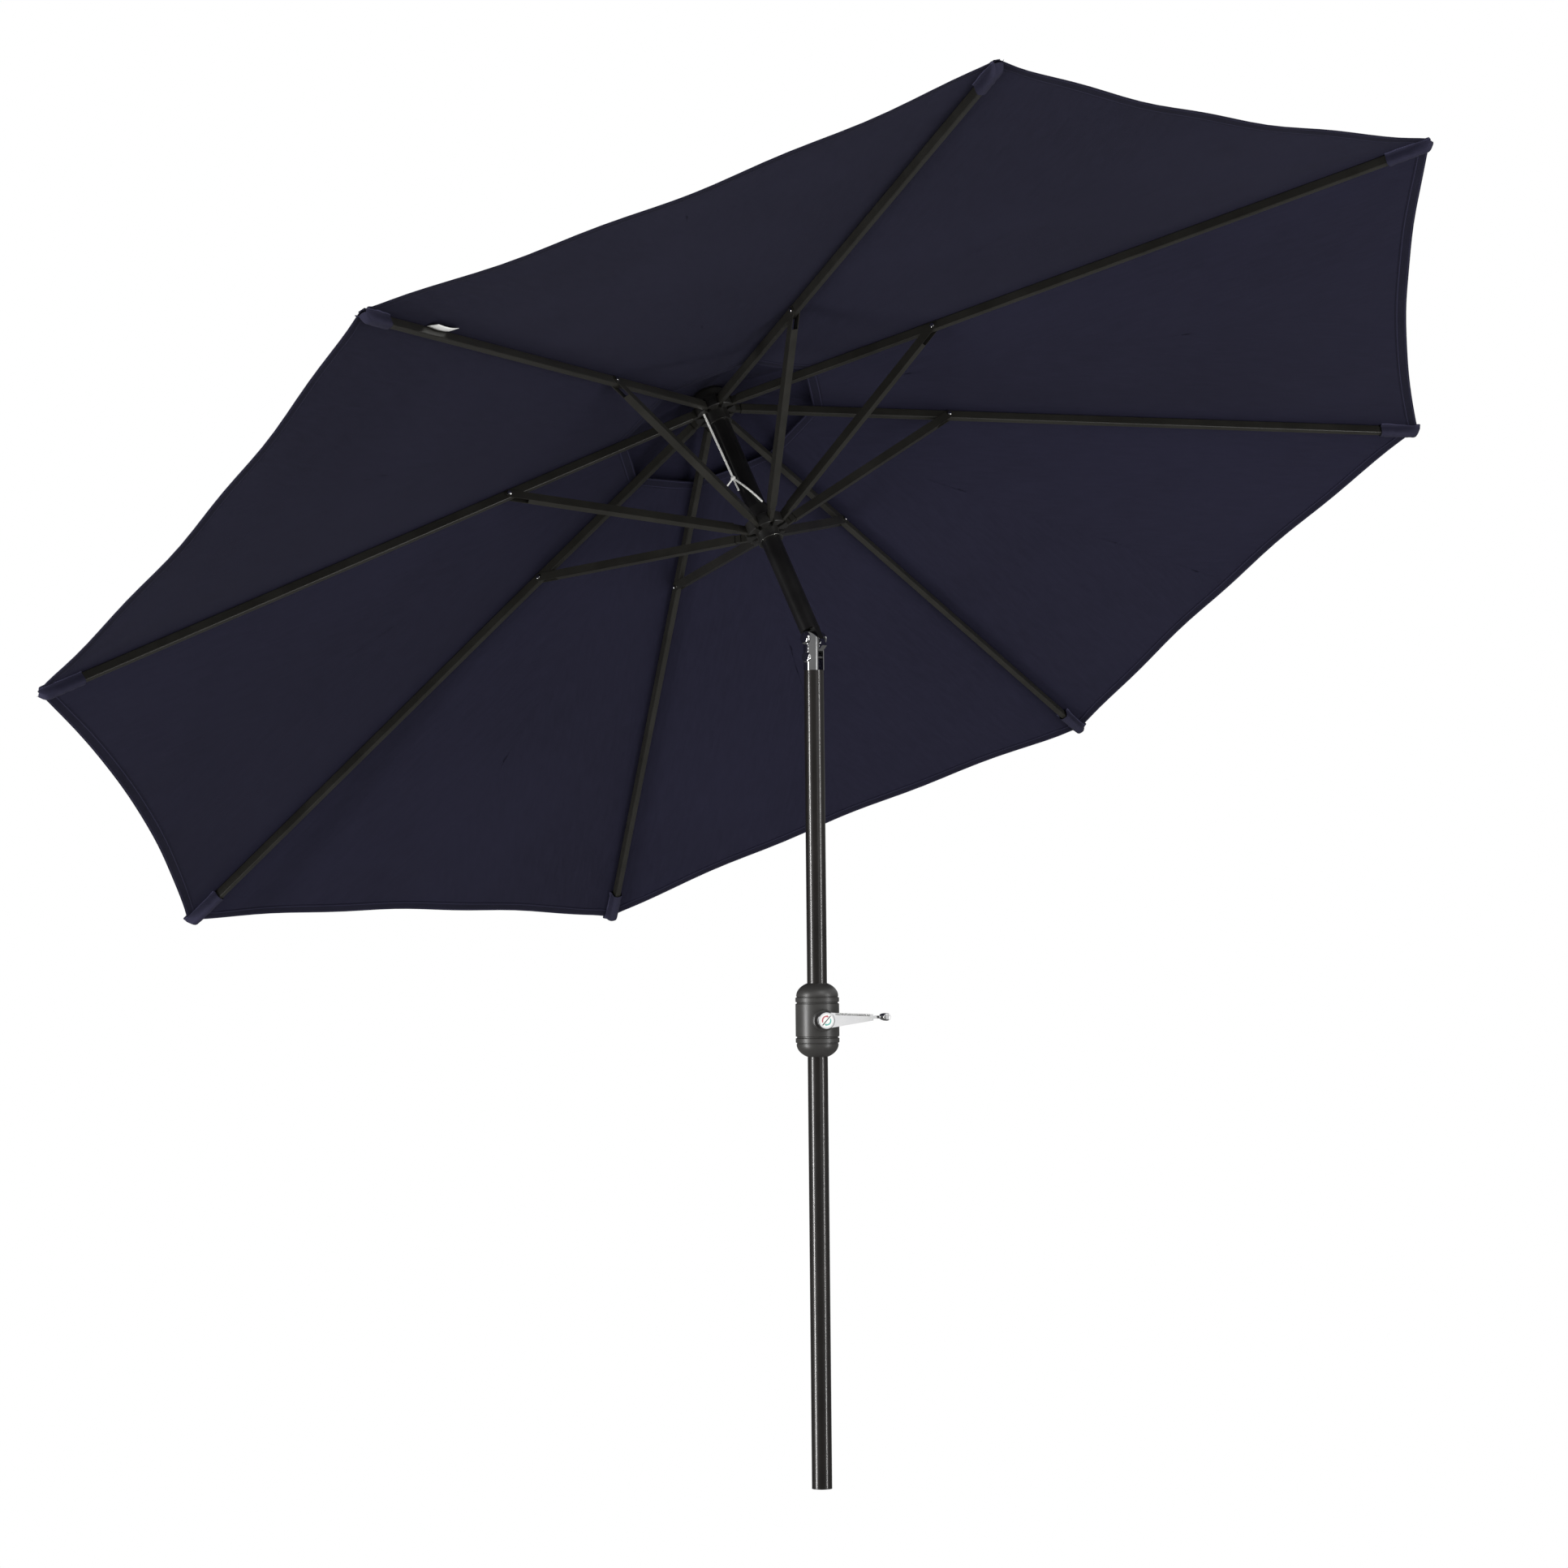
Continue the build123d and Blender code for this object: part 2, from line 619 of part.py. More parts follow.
with BuildPart() as cord_upper:
    with BuildLine(pulley_slot) as route:
        Line((cord_inner, tube_base + 50.0 - hub_height - pulley_height), (cord_inner, 0))
        CenterArc((pulley_centre, 0), pulley_radius, 180, -180)
    with BuildSketch(Plane(origin=route.wire() @ 0, z_dir=mast_dir)):
        Circle(cord_radius)
    sweep(path=route.wire())
save(cord_upper.part, "lift_cord_in_mast")

drop_from = on_mast(cord_outer, pulley_azimuth, hub_height + pulley_height)
knot_point = on_mast(knot_radius, pulley_azimuth, knot_height)
drop_dir = (knot_point - drop_from).normalized()
cord_gap = 0.3
with BuildPart() as cord_drop:
    with BuildSketch(Plane(origin=drop_from + drop_dir * cord_gap, z_dir=drop_dir)):
        Circle(cord_radius)
    extrude(amount=(knot_point - drop_from).length - knot_size - 2 * cord_gap)
save(cord_drop.part, "lift_cord_drop")

tie_azimuth = 170.0
tie_height = runner_height + 47.0
with BuildPart() as knot:
    with Locations(knot_point):
        Sphere(knot_size)
    wrap = [on_mast(22.3 + 3.2 * (1 - t) ** 3, pulley_azimuth + (tie_azimuth - pulley_azimuth) * t,
                    knot_height + (tie_height - knot_height) * t)
            for t in (0, 0.2, 0.4, 0.6, 0.8, 1.0)]
    for begin, end in zip(wrap, wrap[1:]):
        with BuildSketch(Plane(origin=begin, z_dir=end - begin)):
            Circle(cord_radius - 0.1)
        extrude(amount=(end - begin).length)
        with Locations(end):
            Sphere(cord_radius - 0.1)
    for tail_azimuth, tail_drop, tail_out in ((48, -3, 9), (88, -30, 1.5)):
        tail = on_mast(knot_radius + tail_out, tail_azimuth, knot_height + tail_drop)
        with BuildSketch(Plane(origin=knot_point, z_dir=tail - knot_point)):
            Circle(cord_radius - 0.4)
        extrude(amount=(tail - knot_point).length)
save(knot.part, "lift_cord_knot")

# ---- Runner ---------------------------------------------------------------------------------
runner_sleeve = -30.0
runner_collar = 45.0
runner_bore = pole_radius + 0.6
runner_slot_half = tab_width / 2 + 0.7
runner_ring = slotted_ring(-11.0, 12.0, runner_height, 22.2, runner_slot_half)
runner_pin_solids = pin_ring(runner_height, runner_pin_radius, runner_slot_half + 1.6)
with BuildPart() as runner:
    add(runner_ring)
    for low, high, outer in ((runner_sleeve, 12.0, 22.0), (12.0, runner_collar, 21.8)):
        with BuildSketch(mast.offset(runner_height + low)):
            Circle(outer)
            Circle(runner_bore, mode=Mode.SUBTRACT)
        extrude(amount=high - low)
    with BuildSketch(mast.offset(runner_height + runner_sleeve)):
        Circle(24.4)
        Circle(runner_bore, mode=Mode.SUBTRACT)
    extrude(amount=3.0)
    add(runner_pin_solids, mode=Mode.SUBTRACT)
save(runner.part, "runner")
save(runner_pin_solids, "runner_pins")

# ---- Ribs and struts ------------------------------------------------------------------------
tube_start = 20.0
tube_end = canopy_corner - 24.0
tip_end = canopy_corner - 6.0
plug_length = 30.0
tip_plug = 22.0
rib_bore = (rib_width - 2 * rib_wall, rib_depth - 2 * rib_wall)
rivet_radius = 2.5
rivet_head = 4.4
rivet_head_height = 1.4
eye = 7.6                   # radius of a hinge tongue's end
channel_stop = 32.0         # the strut's channel ends this far before the runner's pin


def box_section(frame, width, depth, start, end, wall=0.0):
    """Straight bar or tube along the frame's X, centred on it."""
    with BuildPart() as bar:
        with BuildSketch(Plane(origin=frame.from_local_coords((start, 0, 0)), x_dir=frame.y_dir,
                               z_dir=frame.x_dir)):
            RectangleRounded(width, depth, 2.2)
            if wall:
                RectangleRounded(width - 2 * wall, depth - 2 * wall, 1.2, mode=Mode.SUBTRACT)
        extrude(amount=end - start)
    return bar.part


def hinge_tongue(frame, reach, hole):
    """Flat tongue with a hinge eye at the frame's origin, reaching along its X."""
    with BuildPart() as bar:
        with BuildSketch(upright_face(frame)):
            Circle(eye)
            Rectangle(reach, 2 * eye, align=(Align.MIN, Align.CENTER))
            Circle(hole, mode=Mode.SUBTRACT)
        extrude(amount=tab_width / 2, both=True)
    return bar.part


def build_rib(number):
    """Rib tube, its hinge plug, its tip cap and the rivet that carries the strut."""
    frame = rib_frame(rib_azimuth(number))
    tube = box_section(frame, rib_width, rib_depth, tube_start, tube_end, rib_wall)
    with BuildPart() as plug:
        add(hinge_tongue(frame, tube_start + 1, hub_pin_radius + 0.06))
        add(box_section(frame, *rib_bore, tube_start, tube_start + plug_length))
    with BuildPart() as tip:
        add(box_section(frame, *rib_bore, tube_end - tip_plug, tube_end))
        add(box_section(frame, rib_width, rib_depth, tube_end, tip_end))
        chamfer(tip.faces().sort_by(Axis(frame.origin, frame.x_dir))[-1].edges(), 2.0)
    at_strut = Plane(origin=frame.from_local_coords((strut_at, 0, 0)), x_dir=frame.x_dir, z_dir=frame.y_dir)
    with BuildPart() as rivet:
        with BuildSketch(at_strut):
            Circle(rivet_radius)
        extrude(amount=strut_width / 2 + 0.4, both=True)
        for side in (-1, 1):
            with BuildSketch(at_strut.offset(side * (strut_width / 2 + 0.2))):
                Circle(rivet_head)
            extrude(amount=side * (rivet_head_height + 0.2))
    with BuildPart() as drilled:
        add(tube)
        with BuildSketch(at_strut):
            Circle(rivet_radius)
        extrude(amount=rib_width, both=True, mode=Mode.SUBTRACT)
    return Compound(children=[drilled.part.solid(), plug.part.solid(), tip.part.solid(), rivet.part.solid()])


def build_strut(number):
    """Strut channel, open at the top, with its end tongue in the runner."""
    frame = strut_frame(rib_azimuth(number))
    channel_end = strut_length - channel_stop
    face = upright_face(frame)
    with BuildPart() as channel:
        with BuildSketch(face):
            Circle(strut_depth / 2)
            Rectangle(channel_end, strut_depth, align=(Align.MIN, Align.CENTER))
        extrude(amount=strut_width / 2, both=True)
        inside = strut_width - 2 * strut_wall
        with BuildSketch(face):
            with Locations((-strut_depth, -strut_depth / 2 + strut_wall)):
                Rectangle(channel_end + 2 * strut_depth, 2 * strut_depth, align=(Align.MIN, Align.MIN))
            Rectangle(76, 2 * strut_depth, align=(Align.CENTER, Align.CENTER))
        extrude(amount=inside / 2, both=True, mode=Mode.SUBTRACT)
        with BuildSketch(face):
            Circle(rivet_radius + 0.06)
        extrude(amount=strut_width, both=True, mode=Mode.SUBTRACT)
    foot_frame = Plane(origin=frame.from_local_coords((strut_length, 0, 0)), x_dir=-frame.x_dir,
                       z_dir=frame.z_dir)
    with BuildPart() as foot:
        add(hinge_tongue(foot_frame, 26, loose_hole_radius))
        with BuildSketch(Plane(origin=frame.from_local_coords((channel_end - 40, 0, 0)), x_dir=frame.y_dir,
                               z_dir=frame.x_dir)):
            with Locations((0, strut_wall)):
                Rectangle(inside, strut_depth - strut_wall - 2)
        extrude(amount=40)
        with BuildSketch(upright_face(frame)):
            with Locations((channel_end, 0)):
                Rectangle(12, strut_depth - 2, align=(Align.MIN, Align.CENTER))
        extrude(amount=inside / 2 - 0.5, both=True)
    return Compound(children=[channel.part.solid(), foot.part.solid()])


for number in range(1, rib_count + 1):
    save(build_rib(number), f"rib_{number}")
    save(build_strut(number), f"strut_{number}")

# ---- Canopy ---------------------------------------------------------------------------------
apex = on_mast(0, 0, apex_height)
half_gore = 180 / rib_count
corner_reach = canopy_corner + hinge_radius / cos(radians(rib_drop))
gore_half_angle = degrees(atan2(sin(radians(half_gore)) * cos(radians(rib_drop)),
                                sqrt((cos(radians(half_gore)) * cos(radians(rib_drop))) ** 2
                                     + sin(radians(rib_drop)) ** 2)))
opening = vent_radius / cos(radians(rib_drop))


def half_panel(number, side):
    """The flat half of a gore beside one rib, on the side given by +1 or -1."""
    azimuth = rib_azimuth(number)
    middle = azimuth + side * half_gore
    run = rib_frame(azimuth).x_dir + rib_frame(azimuth + side * 2 * half_gore).x_dir
    across_gore = outward(middle).cross(mast_dir) * side
    rise = run.cross(across_gore) * side
    if rise.dot(mast_dir) < 0:
        rise = rise * -1
    plane = Plane(origin=apex, x_dir=run, z_dir=rise)
    sign = 1 if plane.y_dir.dot(across_gore) > 0 else -1
    angle = radians(gore_half_angle)
    half_chord = corner_reach * sin(angle)
    middle_reach = corner_reach * cos(angle) - hem_rise
    trim = seam_gap / cos(angle)
    with BuildPart() as panel:
        with BuildSketch(plane):
            with BuildLine():
                middle_in = (opening * cos(angle), sign * seam_gap)
                middle_out = (middle_reach, sign * seam_gap)
                rib_in = (opening * cos(angle), sign * (opening * sin(angle) - trim))
                rib_out = (corner_reach * cos(angle), sign * (half_chord - trim))
                Polyline(middle_out, middle_in, rib_in, rib_out)
                TangentArc(middle_out, rib_out, tangent=(0, sign))
            make_face()
        extrude(amount=fabric)
    return panel.part.solid()


for number in range(1, rib_count + 1):
    save(Compound(children=[half_panel(number, -1), half_panel(number, 1)]), f"canopy_panel_{number}")

vent_rim = 285.0
vent_rise = 14.0
cap_top = tube_top + 3.0
rim_height = apex_height - vent_rim * tan(radians(rib_drop)) + vent_rise
with BuildPart() as vent_cap:
    for drop, mode in ((0.0, Mode.ADD), (fabric, Mode.SUBTRACT)):
        with BuildSketch(mast.offset(rim_height - drop)):
            RegularPolygon(vent_rim, rib_count, rotation=first_rib)
        with BuildSketch(mast.offset(cap_top + fabric - drop)):
            RegularPolygon(24.0, rib_count, rotation=first_rib)
        loft(mode=mode)
    with BuildSketch(mast.offset(cap_top - 6)):
        Circle(4.1)
    extrude(amount=20, mode=Mode.SUBTRACT)
save(vent_cap.part, "vent_cap")

# ---- Springs --------------------------------------------------------------------------------
button_spring = spring(button_face_plane.offset(button_floor + 0.7), 6.2, 0.6, 4.9, 3)
save(button_spring.part, "button_spring")
brake_spring = spring(crank_level.offset(pole_radius + 3.2), 8.2, 1.0, 5.4, 3)
save(brake_spring.part, "brake_spring")
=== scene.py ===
"""Looks of the tilting garden umbrella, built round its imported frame.

The frame gives every place: the hinges, the mast's direction and the fitted parts. This file adds the
sewn canopy, the vent cap, the corner pockets, the lift cord and the crank's badge, and dresses every
part in its finish. Lengths are in metres.
"""
import json
import logging
import math
from collections.abc import Callable
from dataclasses import dataclass
from enum import Enum

import bmesh
import bpy
from mathutils import Matrix, Vector


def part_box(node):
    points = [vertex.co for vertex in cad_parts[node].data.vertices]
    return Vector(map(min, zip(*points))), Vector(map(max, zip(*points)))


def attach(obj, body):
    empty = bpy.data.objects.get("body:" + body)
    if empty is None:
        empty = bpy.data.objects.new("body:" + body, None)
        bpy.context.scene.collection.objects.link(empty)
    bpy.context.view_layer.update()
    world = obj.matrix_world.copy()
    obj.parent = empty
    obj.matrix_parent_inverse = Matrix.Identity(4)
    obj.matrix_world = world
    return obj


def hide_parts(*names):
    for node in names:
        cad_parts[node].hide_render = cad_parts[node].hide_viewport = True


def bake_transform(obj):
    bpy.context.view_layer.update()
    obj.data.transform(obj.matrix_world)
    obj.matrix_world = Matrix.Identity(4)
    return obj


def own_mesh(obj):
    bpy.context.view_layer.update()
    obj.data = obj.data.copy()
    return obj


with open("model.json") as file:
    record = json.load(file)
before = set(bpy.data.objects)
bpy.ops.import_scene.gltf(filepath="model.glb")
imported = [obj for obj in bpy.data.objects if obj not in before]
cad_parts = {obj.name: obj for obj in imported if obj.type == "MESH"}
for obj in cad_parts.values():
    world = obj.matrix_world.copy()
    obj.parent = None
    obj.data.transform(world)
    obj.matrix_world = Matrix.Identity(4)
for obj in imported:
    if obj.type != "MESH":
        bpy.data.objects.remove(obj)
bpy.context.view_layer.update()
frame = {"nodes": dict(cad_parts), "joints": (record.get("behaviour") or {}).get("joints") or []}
LOG = logging.getLogger("umbrella")
UP = Vector((0.0, 0.0, 1.0))
Colour = tuple[float, float, float]


# ---- Places that the frame gives ----
class Side(Enum):
    """The two sides of a rib, seen from its hinge towards its tip."""

    RIGHT = -1
    LEFT = 1


@dataclass(frozen=True)
class RibPlace:
    """Where one rib's hinge is and which way the rib runs.

    Attributes:
        number: The rib's number, from 1.
        body: The frame body that the rib belongs to.
        joint: The joint that folds it.
        hinge: A point on the hinge.
        tangent: The hinge's axis.
        run: Direction along the rib, outwards.
        rise: Direction square to the rib's top face, outwards from the canopy.
    """

    number: int
    body: str
    joint: str
    hinge: Vector
    tangent: Vector
    run: Vector
    rise: Vector


def joint_named(name: str) -> dict:
    """Return the joint with this name.

    Args:
        name: A joint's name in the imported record.

    Returns:
        The joint's entry.
    """
    return next(joint for joint in frame["joints"] if joint["name"] == name)


class MastFrame:
    """The mast's own axes and the eight ribs round it, read from the frame's joints."""

    def __init__(self, rib_count: int = 8) -> None:
        """Read the joints.

        Args:
            rib_count: How many ribs the umbrella has.
        """
        self.pivot = Vector(joint_named("tilt")["pos_m"])
        self.up = -Vector(joint_named("runner_slide")["axis"]).normalized()
        self.ribs = [self.read_rib(number) for number in range(1, rib_count + 1)]
        self.hub = self.foot_on_axis(self.ribs[0].hinge)
        self.hub_height = (self.hub - self.pivot).dot(self.up)
        self.hinge_radius = (self.ribs[0].hinge - self.hub).length
        self.lean = Vector((self.up.z, 0.0, -self.up.x))

    def read_rib(self, number: int) -> RibPlace:
        """Read one rib's place from its hinge and its strut's pivot."""
        name = "canopy_fold" if number == 1 else f"rib_{number}_fold"
        joint = joint_named(name)
        hinge = Vector(joint["pos_m"])
        tangent = Vector(joint["axis"]).normalized()
        run = (Vector(joint_named(f"strut_{number}_fold")["pos_m"]) - hinge).normalized()
        return RibPlace(number, joint["child"], name, hinge, tangent, run, run.cross(tangent))

    def foot_on_axis(self, point: Vector) -> Vector:
        """Return the point of the mast's axis that is level with a point."""
        return self.pivot + self.up * (point - self.pivot).dot(self.up)

    def at(self, radius: float, azimuth: float, height: float) -> Vector:
        """Place a point about the mast.

        Args:
            radius: Distance from the mast's axis.
            azimuth: Angle about the mast from the way it leans, in degrees.
            height: Height above the tilt hinge, along the mast.

        Returns:
            The point in the row frame.
        """
        angle = math.radians(azimuth)
        side = self.up.cross(self.lean)
        out = self.lean * math.cos(angle) + side * math.sin(angle)
        return self.pivot + out * radius + self.up * height

    def neighbour(self, rib: RibPlace, side: Side) -> RibPlace:
        """Return the next rib on one side of a rib."""
        return self.ribs[(rib.number - 1 + side.value) % len(self.ribs)]


# ---- Shader groups and finishes ----
class NodeTree:
    """A thin helper that adds and links shader nodes in one tree."""

    def __init__(self, tree: bpy.types.NodeTree) -> None:
        """Keep the tree to add nodes to."""
        self.tree = tree

    def add(self, kind: str, **settings: object) -> bpy.types.Node:
        """Add a node.

        Args:
            kind: The node's Blender type name.
            **settings: Attributes of the node, or values of its inputs by name.

        Returns:
            The new node.
        """
        node = self.tree.nodes.new(kind)
        for key, value in settings.items():
            if hasattr(node, key):
                setattr(node, key, value)
            else:
                node.inputs[key.replace("_", " ")].default_value = value
        return node

    def link(self, start: object, end: bpy.types.NodeSocket) -> None:
        """Link an output to an input, or set the input to a plain value."""
        if isinstance(start, bpy.types.NodeSocket):
            self.tree.links.new(start, end)
        else:
            end.default_value = start

    def math(self, operation: str, first: object, second: object = 0.0) -> bpy.types.NodeSocket:
        """Add a Math node on sockets or numbers and return its result."""
        node = self.add("ShaderNodeMath", operation=operation)
        self.link(first, node.inputs[0])
        self.link(second, node.inputs[1])
        return node.outputs[0]

    def mix(self, kind: str, factor: object, first: object, second: object) -> bpy.types.NodeSocket:
        """Add a Mix node of a data type on sockets or values and return its result."""
        node = self.add("ShaderNodeMix", data_type=kind)
        for name, value in (("Factor", factor), ("A", first), ("B", second)):
            self.link(value, node.inputs[name])
        return node.outputs["Result"]

    def axes(self, kind: str) -> bpy.types.NodeOutputs:
        """Split a kind of texture coordinate into its X, Y and Z."""
        split = self.add("ShaderNodeSeparateXYZ")
        self.link(self.add("ShaderNodeTexCoord").outputs[kind], split.inputs[0])
        return split.outputs

    def ramp(self, source: bpy.types.NodeSocket, low: float, high: float) -> bpy.types.NodeSocket:
        """Map a value from low..high to 0..1, clamped."""
        node = self.add("ShaderNodeMapRange", From_Min=low, From_Max=high)
        self.link(source, node.inputs["Value"])
        return node.outputs["Result"]


def new_group(name: str, inputs: list[tuple], outputs: list[tuple]) -> tuple:
    """Make an empty shader group.

    Args:
        name: The group's name.
        inputs: (name, socket type, default) of each input.
        outputs: (name, socket type) of each output.

    Returns:
        The group's tree, its helper, its input node and its output node.
    """
    tree = bpy.data.node_groups.new(name, "ShaderNodeTree")
    for label, kind, default in inputs:
        socket = tree.interface.new_socket(name=label, in_out="INPUT", socket_type=kind)
        socket.default_value = default
    for label, kind in outputs:
        tree.interface.new_socket(name=label, in_out="OUTPUT", socket_type=kind)
    nodes = NodeTree(tree)
    return tree, nodes, nodes.add("NodeGroupInput"), nodes.add("NodeGroupOutput")


FLOAT = "NodeSocketFloat"
COLOR = "NodeSocketColor"


def make_mottle_group() -> bpy.types.NodeTree:
    """Build the group that varies a colour and a roughness slowly over a surface.

    Returns:
        A group with inputs Tint, Dark, Size, Rough and Spread, and outputs Color and Roughness.
    """
    tree, nodes, start, end = new_group(
        "surface_mottle",
        [("Tint", COLOR, (0.1, 0.1, 0.1, 1.0)), ("Dark", COLOR, (0.05, 0.05, 0.05, 1.0)),
         ("Size", FLOAT, 6.0), ("Rough", FLOAT, 0.4), ("Spread", FLOAT, 0.1)],
        [("Color", COLOR), ("Roughness", FLOAT)],
    )
    place = nodes.add("ShaderNodeTexCoord")
    cloud = nodes.add("ShaderNodeTexNoise", Detail=5.0, Roughness=0.6)
    nodes.link(place.outputs["Object"], cloud.inputs["Vector"])
    nodes.link(start.outputs["Size"], cloud.inputs["Scale"])
    share = nodes.ramp(cloud.outputs["Fac"], 0.35, 0.65)
    nodes.link(nodes.mix("RGBA", share, start.outputs["Dark"], start.outputs["Tint"]), end.inputs["Color"])
    swing = nodes.math("MULTIPLY", nodes.math("SUBTRACT", share, 0.5), start.outputs["Spread"])
    nodes.link(nodes.math("ADD", start.outputs["Rough"], swing), end.inputs["Roughness"])
    return tree


def make_weave_group() -> bpy.types.NodeTree:
    """Build the group for plain-woven cloth, laid out by the cloth's own coordinates.

    Returns:
        A group with inputs Tint, Thread, Pitch and Slub, and outputs Color and Height.
    """
    tree, nodes, start, end = new_group(
        "plain_weave",
        [("Tint", COLOR, (0.02, 0.02, 0.04, 1.0)), ("Thread", COLOR, (0.03, 0.03, 0.05, 1.0)),
         ("Pitch", FLOAT, 900.0), ("Slub", FLOAT, 0.5)],
        [("Color", COLOR), ("Height", FLOAT)],
    )
    place = nodes.add("ShaderNodeTexCoord")
    flat = nodes.axes("UV")
    turns = nodes.math("MULTIPLY", start.outputs["Pitch"], 2 * math.pi)
    warp = nodes.math("SINE", nodes.math("MULTIPLY", flat["X"], turns))
    weft = nodes.math("SINE", nodes.math("MULTIPLY", flat["Y"], turns))
    over = nodes.math("MULTIPLY", warp, weft)
    streak = nodes.add("ShaderNodeTexNoise", Detail=4.0, Roughness=0.7, Scale=120.0)
    stretch = nodes.add("ShaderNodeMapping")
    stretch.inputs["Scale"].default_value = (1.0, 0.12, 1.0)
    nodes.link(place.outputs["UV"], stretch.inputs["Vector"])
    nodes.link(stretch.outputs["Vector"], streak.inputs["Vector"])
    slub = nodes.math("MULTIPLY", nodes.ramp(streak.outputs["Fac"], 0.35, 0.7), start.outputs["Slub"])
    share = nodes.math("ADD", nodes.math("MULTIPLY", nodes.ramp(over, -1.0, 1.0), 0.5), slub)
    nodes.link(nodes.mix("RGBA", share, start.outputs["Tint"], start.outputs["Thread"]), end.inputs["Color"])
    nodes.link(nodes.math("ADD", over, slub), end.inputs["Height"])
    return tree


def make_stitch_group() -> bpy.types.NodeTree:
    """Build the group that marks one row of stitches along the cloth's second coordinate.

    Returns:
        A group with inputs Offset, Pitch and Width, and the output Mask.
    """
    tree, nodes, start, end = new_group(
        "stitch_row", [("Offset", FLOAT, 0.003), ("Pitch", FLOAT, 0.0045), ("Width", FLOAT, 0.0007)],
        [("Mask", FLOAT)])
    flat = nodes.axes("UV")
    aside = nodes.math("ABSOLUTE", nodes.math("SUBTRACT", flat["X"], start.outputs["Offset"]))
    row = nodes.math("LESS_THAN", aside, start.outputs["Width"])
    step = nodes.math("FRACT", nodes.math("DIVIDE", flat["Y"], start.outputs["Pitch"]))
    nodes.link(nodes.math("MULTIPLY", row, nodes.math("LESS_THAN", step, 0.74)), end.inputs["Mask"])
    return tree


def make_grain_group() -> bpy.types.NodeTree:
    """Build the group for a fine even grain, such as powder coat or spark-eroded plastic.

    Returns:
        A group with inputs Size and Depth, and the output Height.
    """
    tree, nodes, start, end = new_group(
        "fine_grain", [("Size", FLOAT, 900.0), ("Depth", FLOAT, 1.0)], [("Height", FLOAT)])
    place = nodes.add("ShaderNodeTexCoord")
    pits = nodes.add("ShaderNodeTexNoise", Detail=2.0, Roughness=0.5)
    nodes.link(place.outputs["Object"], pits.inputs["Vector"])
    nodes.link(start.outputs["Size"], pits.inputs["Scale"])
    nodes.link(nodes.math("MULTIPLY", pits.outputs["Fac"], start.outputs["Depth"]), end.inputs["Height"])
    return tree


class Groups:
    """The shader groups that several finishes share."""

    mottle: bpy.types.NodeTree = make_mottle_group()
    weave: bpy.types.NodeTree = make_weave_group()
    grain: bpy.types.NodeTree = make_grain_group()
    stitch: bpy.types.NodeTree = make_stitch_group()


@dataclass(frozen=True)
class Finish:
    """A material of two mottled colours with a fine grain in relief.

    Attributes:
        name: The material's name.
        tint: The lighter of its two colours.
        dark: The darker of its two colours.
        rough: Mean roughness.
        spread: How far the roughness varies.
        mottle_size: Scale of the slow variation.
        metallic: How metallic it is.
        coat: Weight of its clear coat.
        gloss: Strength of its plain reflection.
        grain_size: Scale of the grain.
        relief: Depth of the relief, in metres.
        strength: How strongly the relief turns the surface.
    """

    name: str
    tint: Colour
    dark: Colour
    rough: float = 0.4
    spread: float = 0.1
    mottle_size: float = 6.0
    metallic: float = 0.0
    coat: float = 0.0
    gloss: float = 0.5
    grain_size: float = 1100.0
    relief: float = 0.00008
    strength: float = 0.4

    def begin(self) -> tuple:
        """Make the material with its colour and roughness variation.

        Returns:
            The material, its node helper and its Principled BSDF.
        """
        material = bpy.data.materials.new(self.name)
        material.use_nodes = True
        nodes = NodeTree(material.node_tree)
        shader = material.node_tree.nodes["Principled BSDF"]
        mottle = nodes.add(
            "ShaderNodeGroup", node_tree=Groups.mottle, Tint=(*self.tint, 1.0), Dark=(*self.dark, 1.0),
            Size=self.mottle_size, Rough=self.rough, Spread=self.spread)
        nodes.link(mottle.outputs["Color"], shader.inputs["Base Color"])
        nodes.link(mottle.outputs["Roughness"], shader.inputs["Roughness"])
        shader.inputs["Metallic"].default_value = self.metallic
        shader.inputs["Coat Weight"].default_value = self.coat
        shader.inputs["Coat Roughness"].default_value = 0.08
        shader.inputs["Specular IOR Level"].default_value = self.gloss
        return material, nodes, shader

    def bump(self, nodes: NodeTree, shader: bpy.types.Node, height: bpy.types.NodeSocket) -> None:
        """Feed a height into the shader's normal."""
        bump = nodes.add("ShaderNodeBump", Strength=self.strength, Distance=self.relief)
        nodes.link(height, bump.inputs["Height"])
        nodes.link(bump.outputs["Normal"], shader.inputs["Normal"])

    def build(self) -> bpy.types.Material:
        """Return the finished material."""
        material, nodes, shader = self.begin()
        grain = nodes.add("ShaderNodeGroup", node_tree=Groups.grain, Size=self.grain_size)
        self.bump(nodes, shader, grain.outputs["Height"])
        return material


@dataclass(frozen=True)
class CoatedMetal(Finish):
    """Powder-coated or painted steel tube."""

    coat: float = 0.5
    grain_size: float = 1400.0
    relief: float = 0.00005
    strength: float = 0.1


@dataclass(frozen=True)
class Plated(Finish):
    """Chrome plate or bright steel."""

    metallic: float = 1.0
    grain_size: float = 500.0
    relief: float = 0.00003
    strength: float = 0.3


@dataclass(frozen=True)
class Moulded(Finish):
    """Moulded plastic with a spark-eroded grain."""


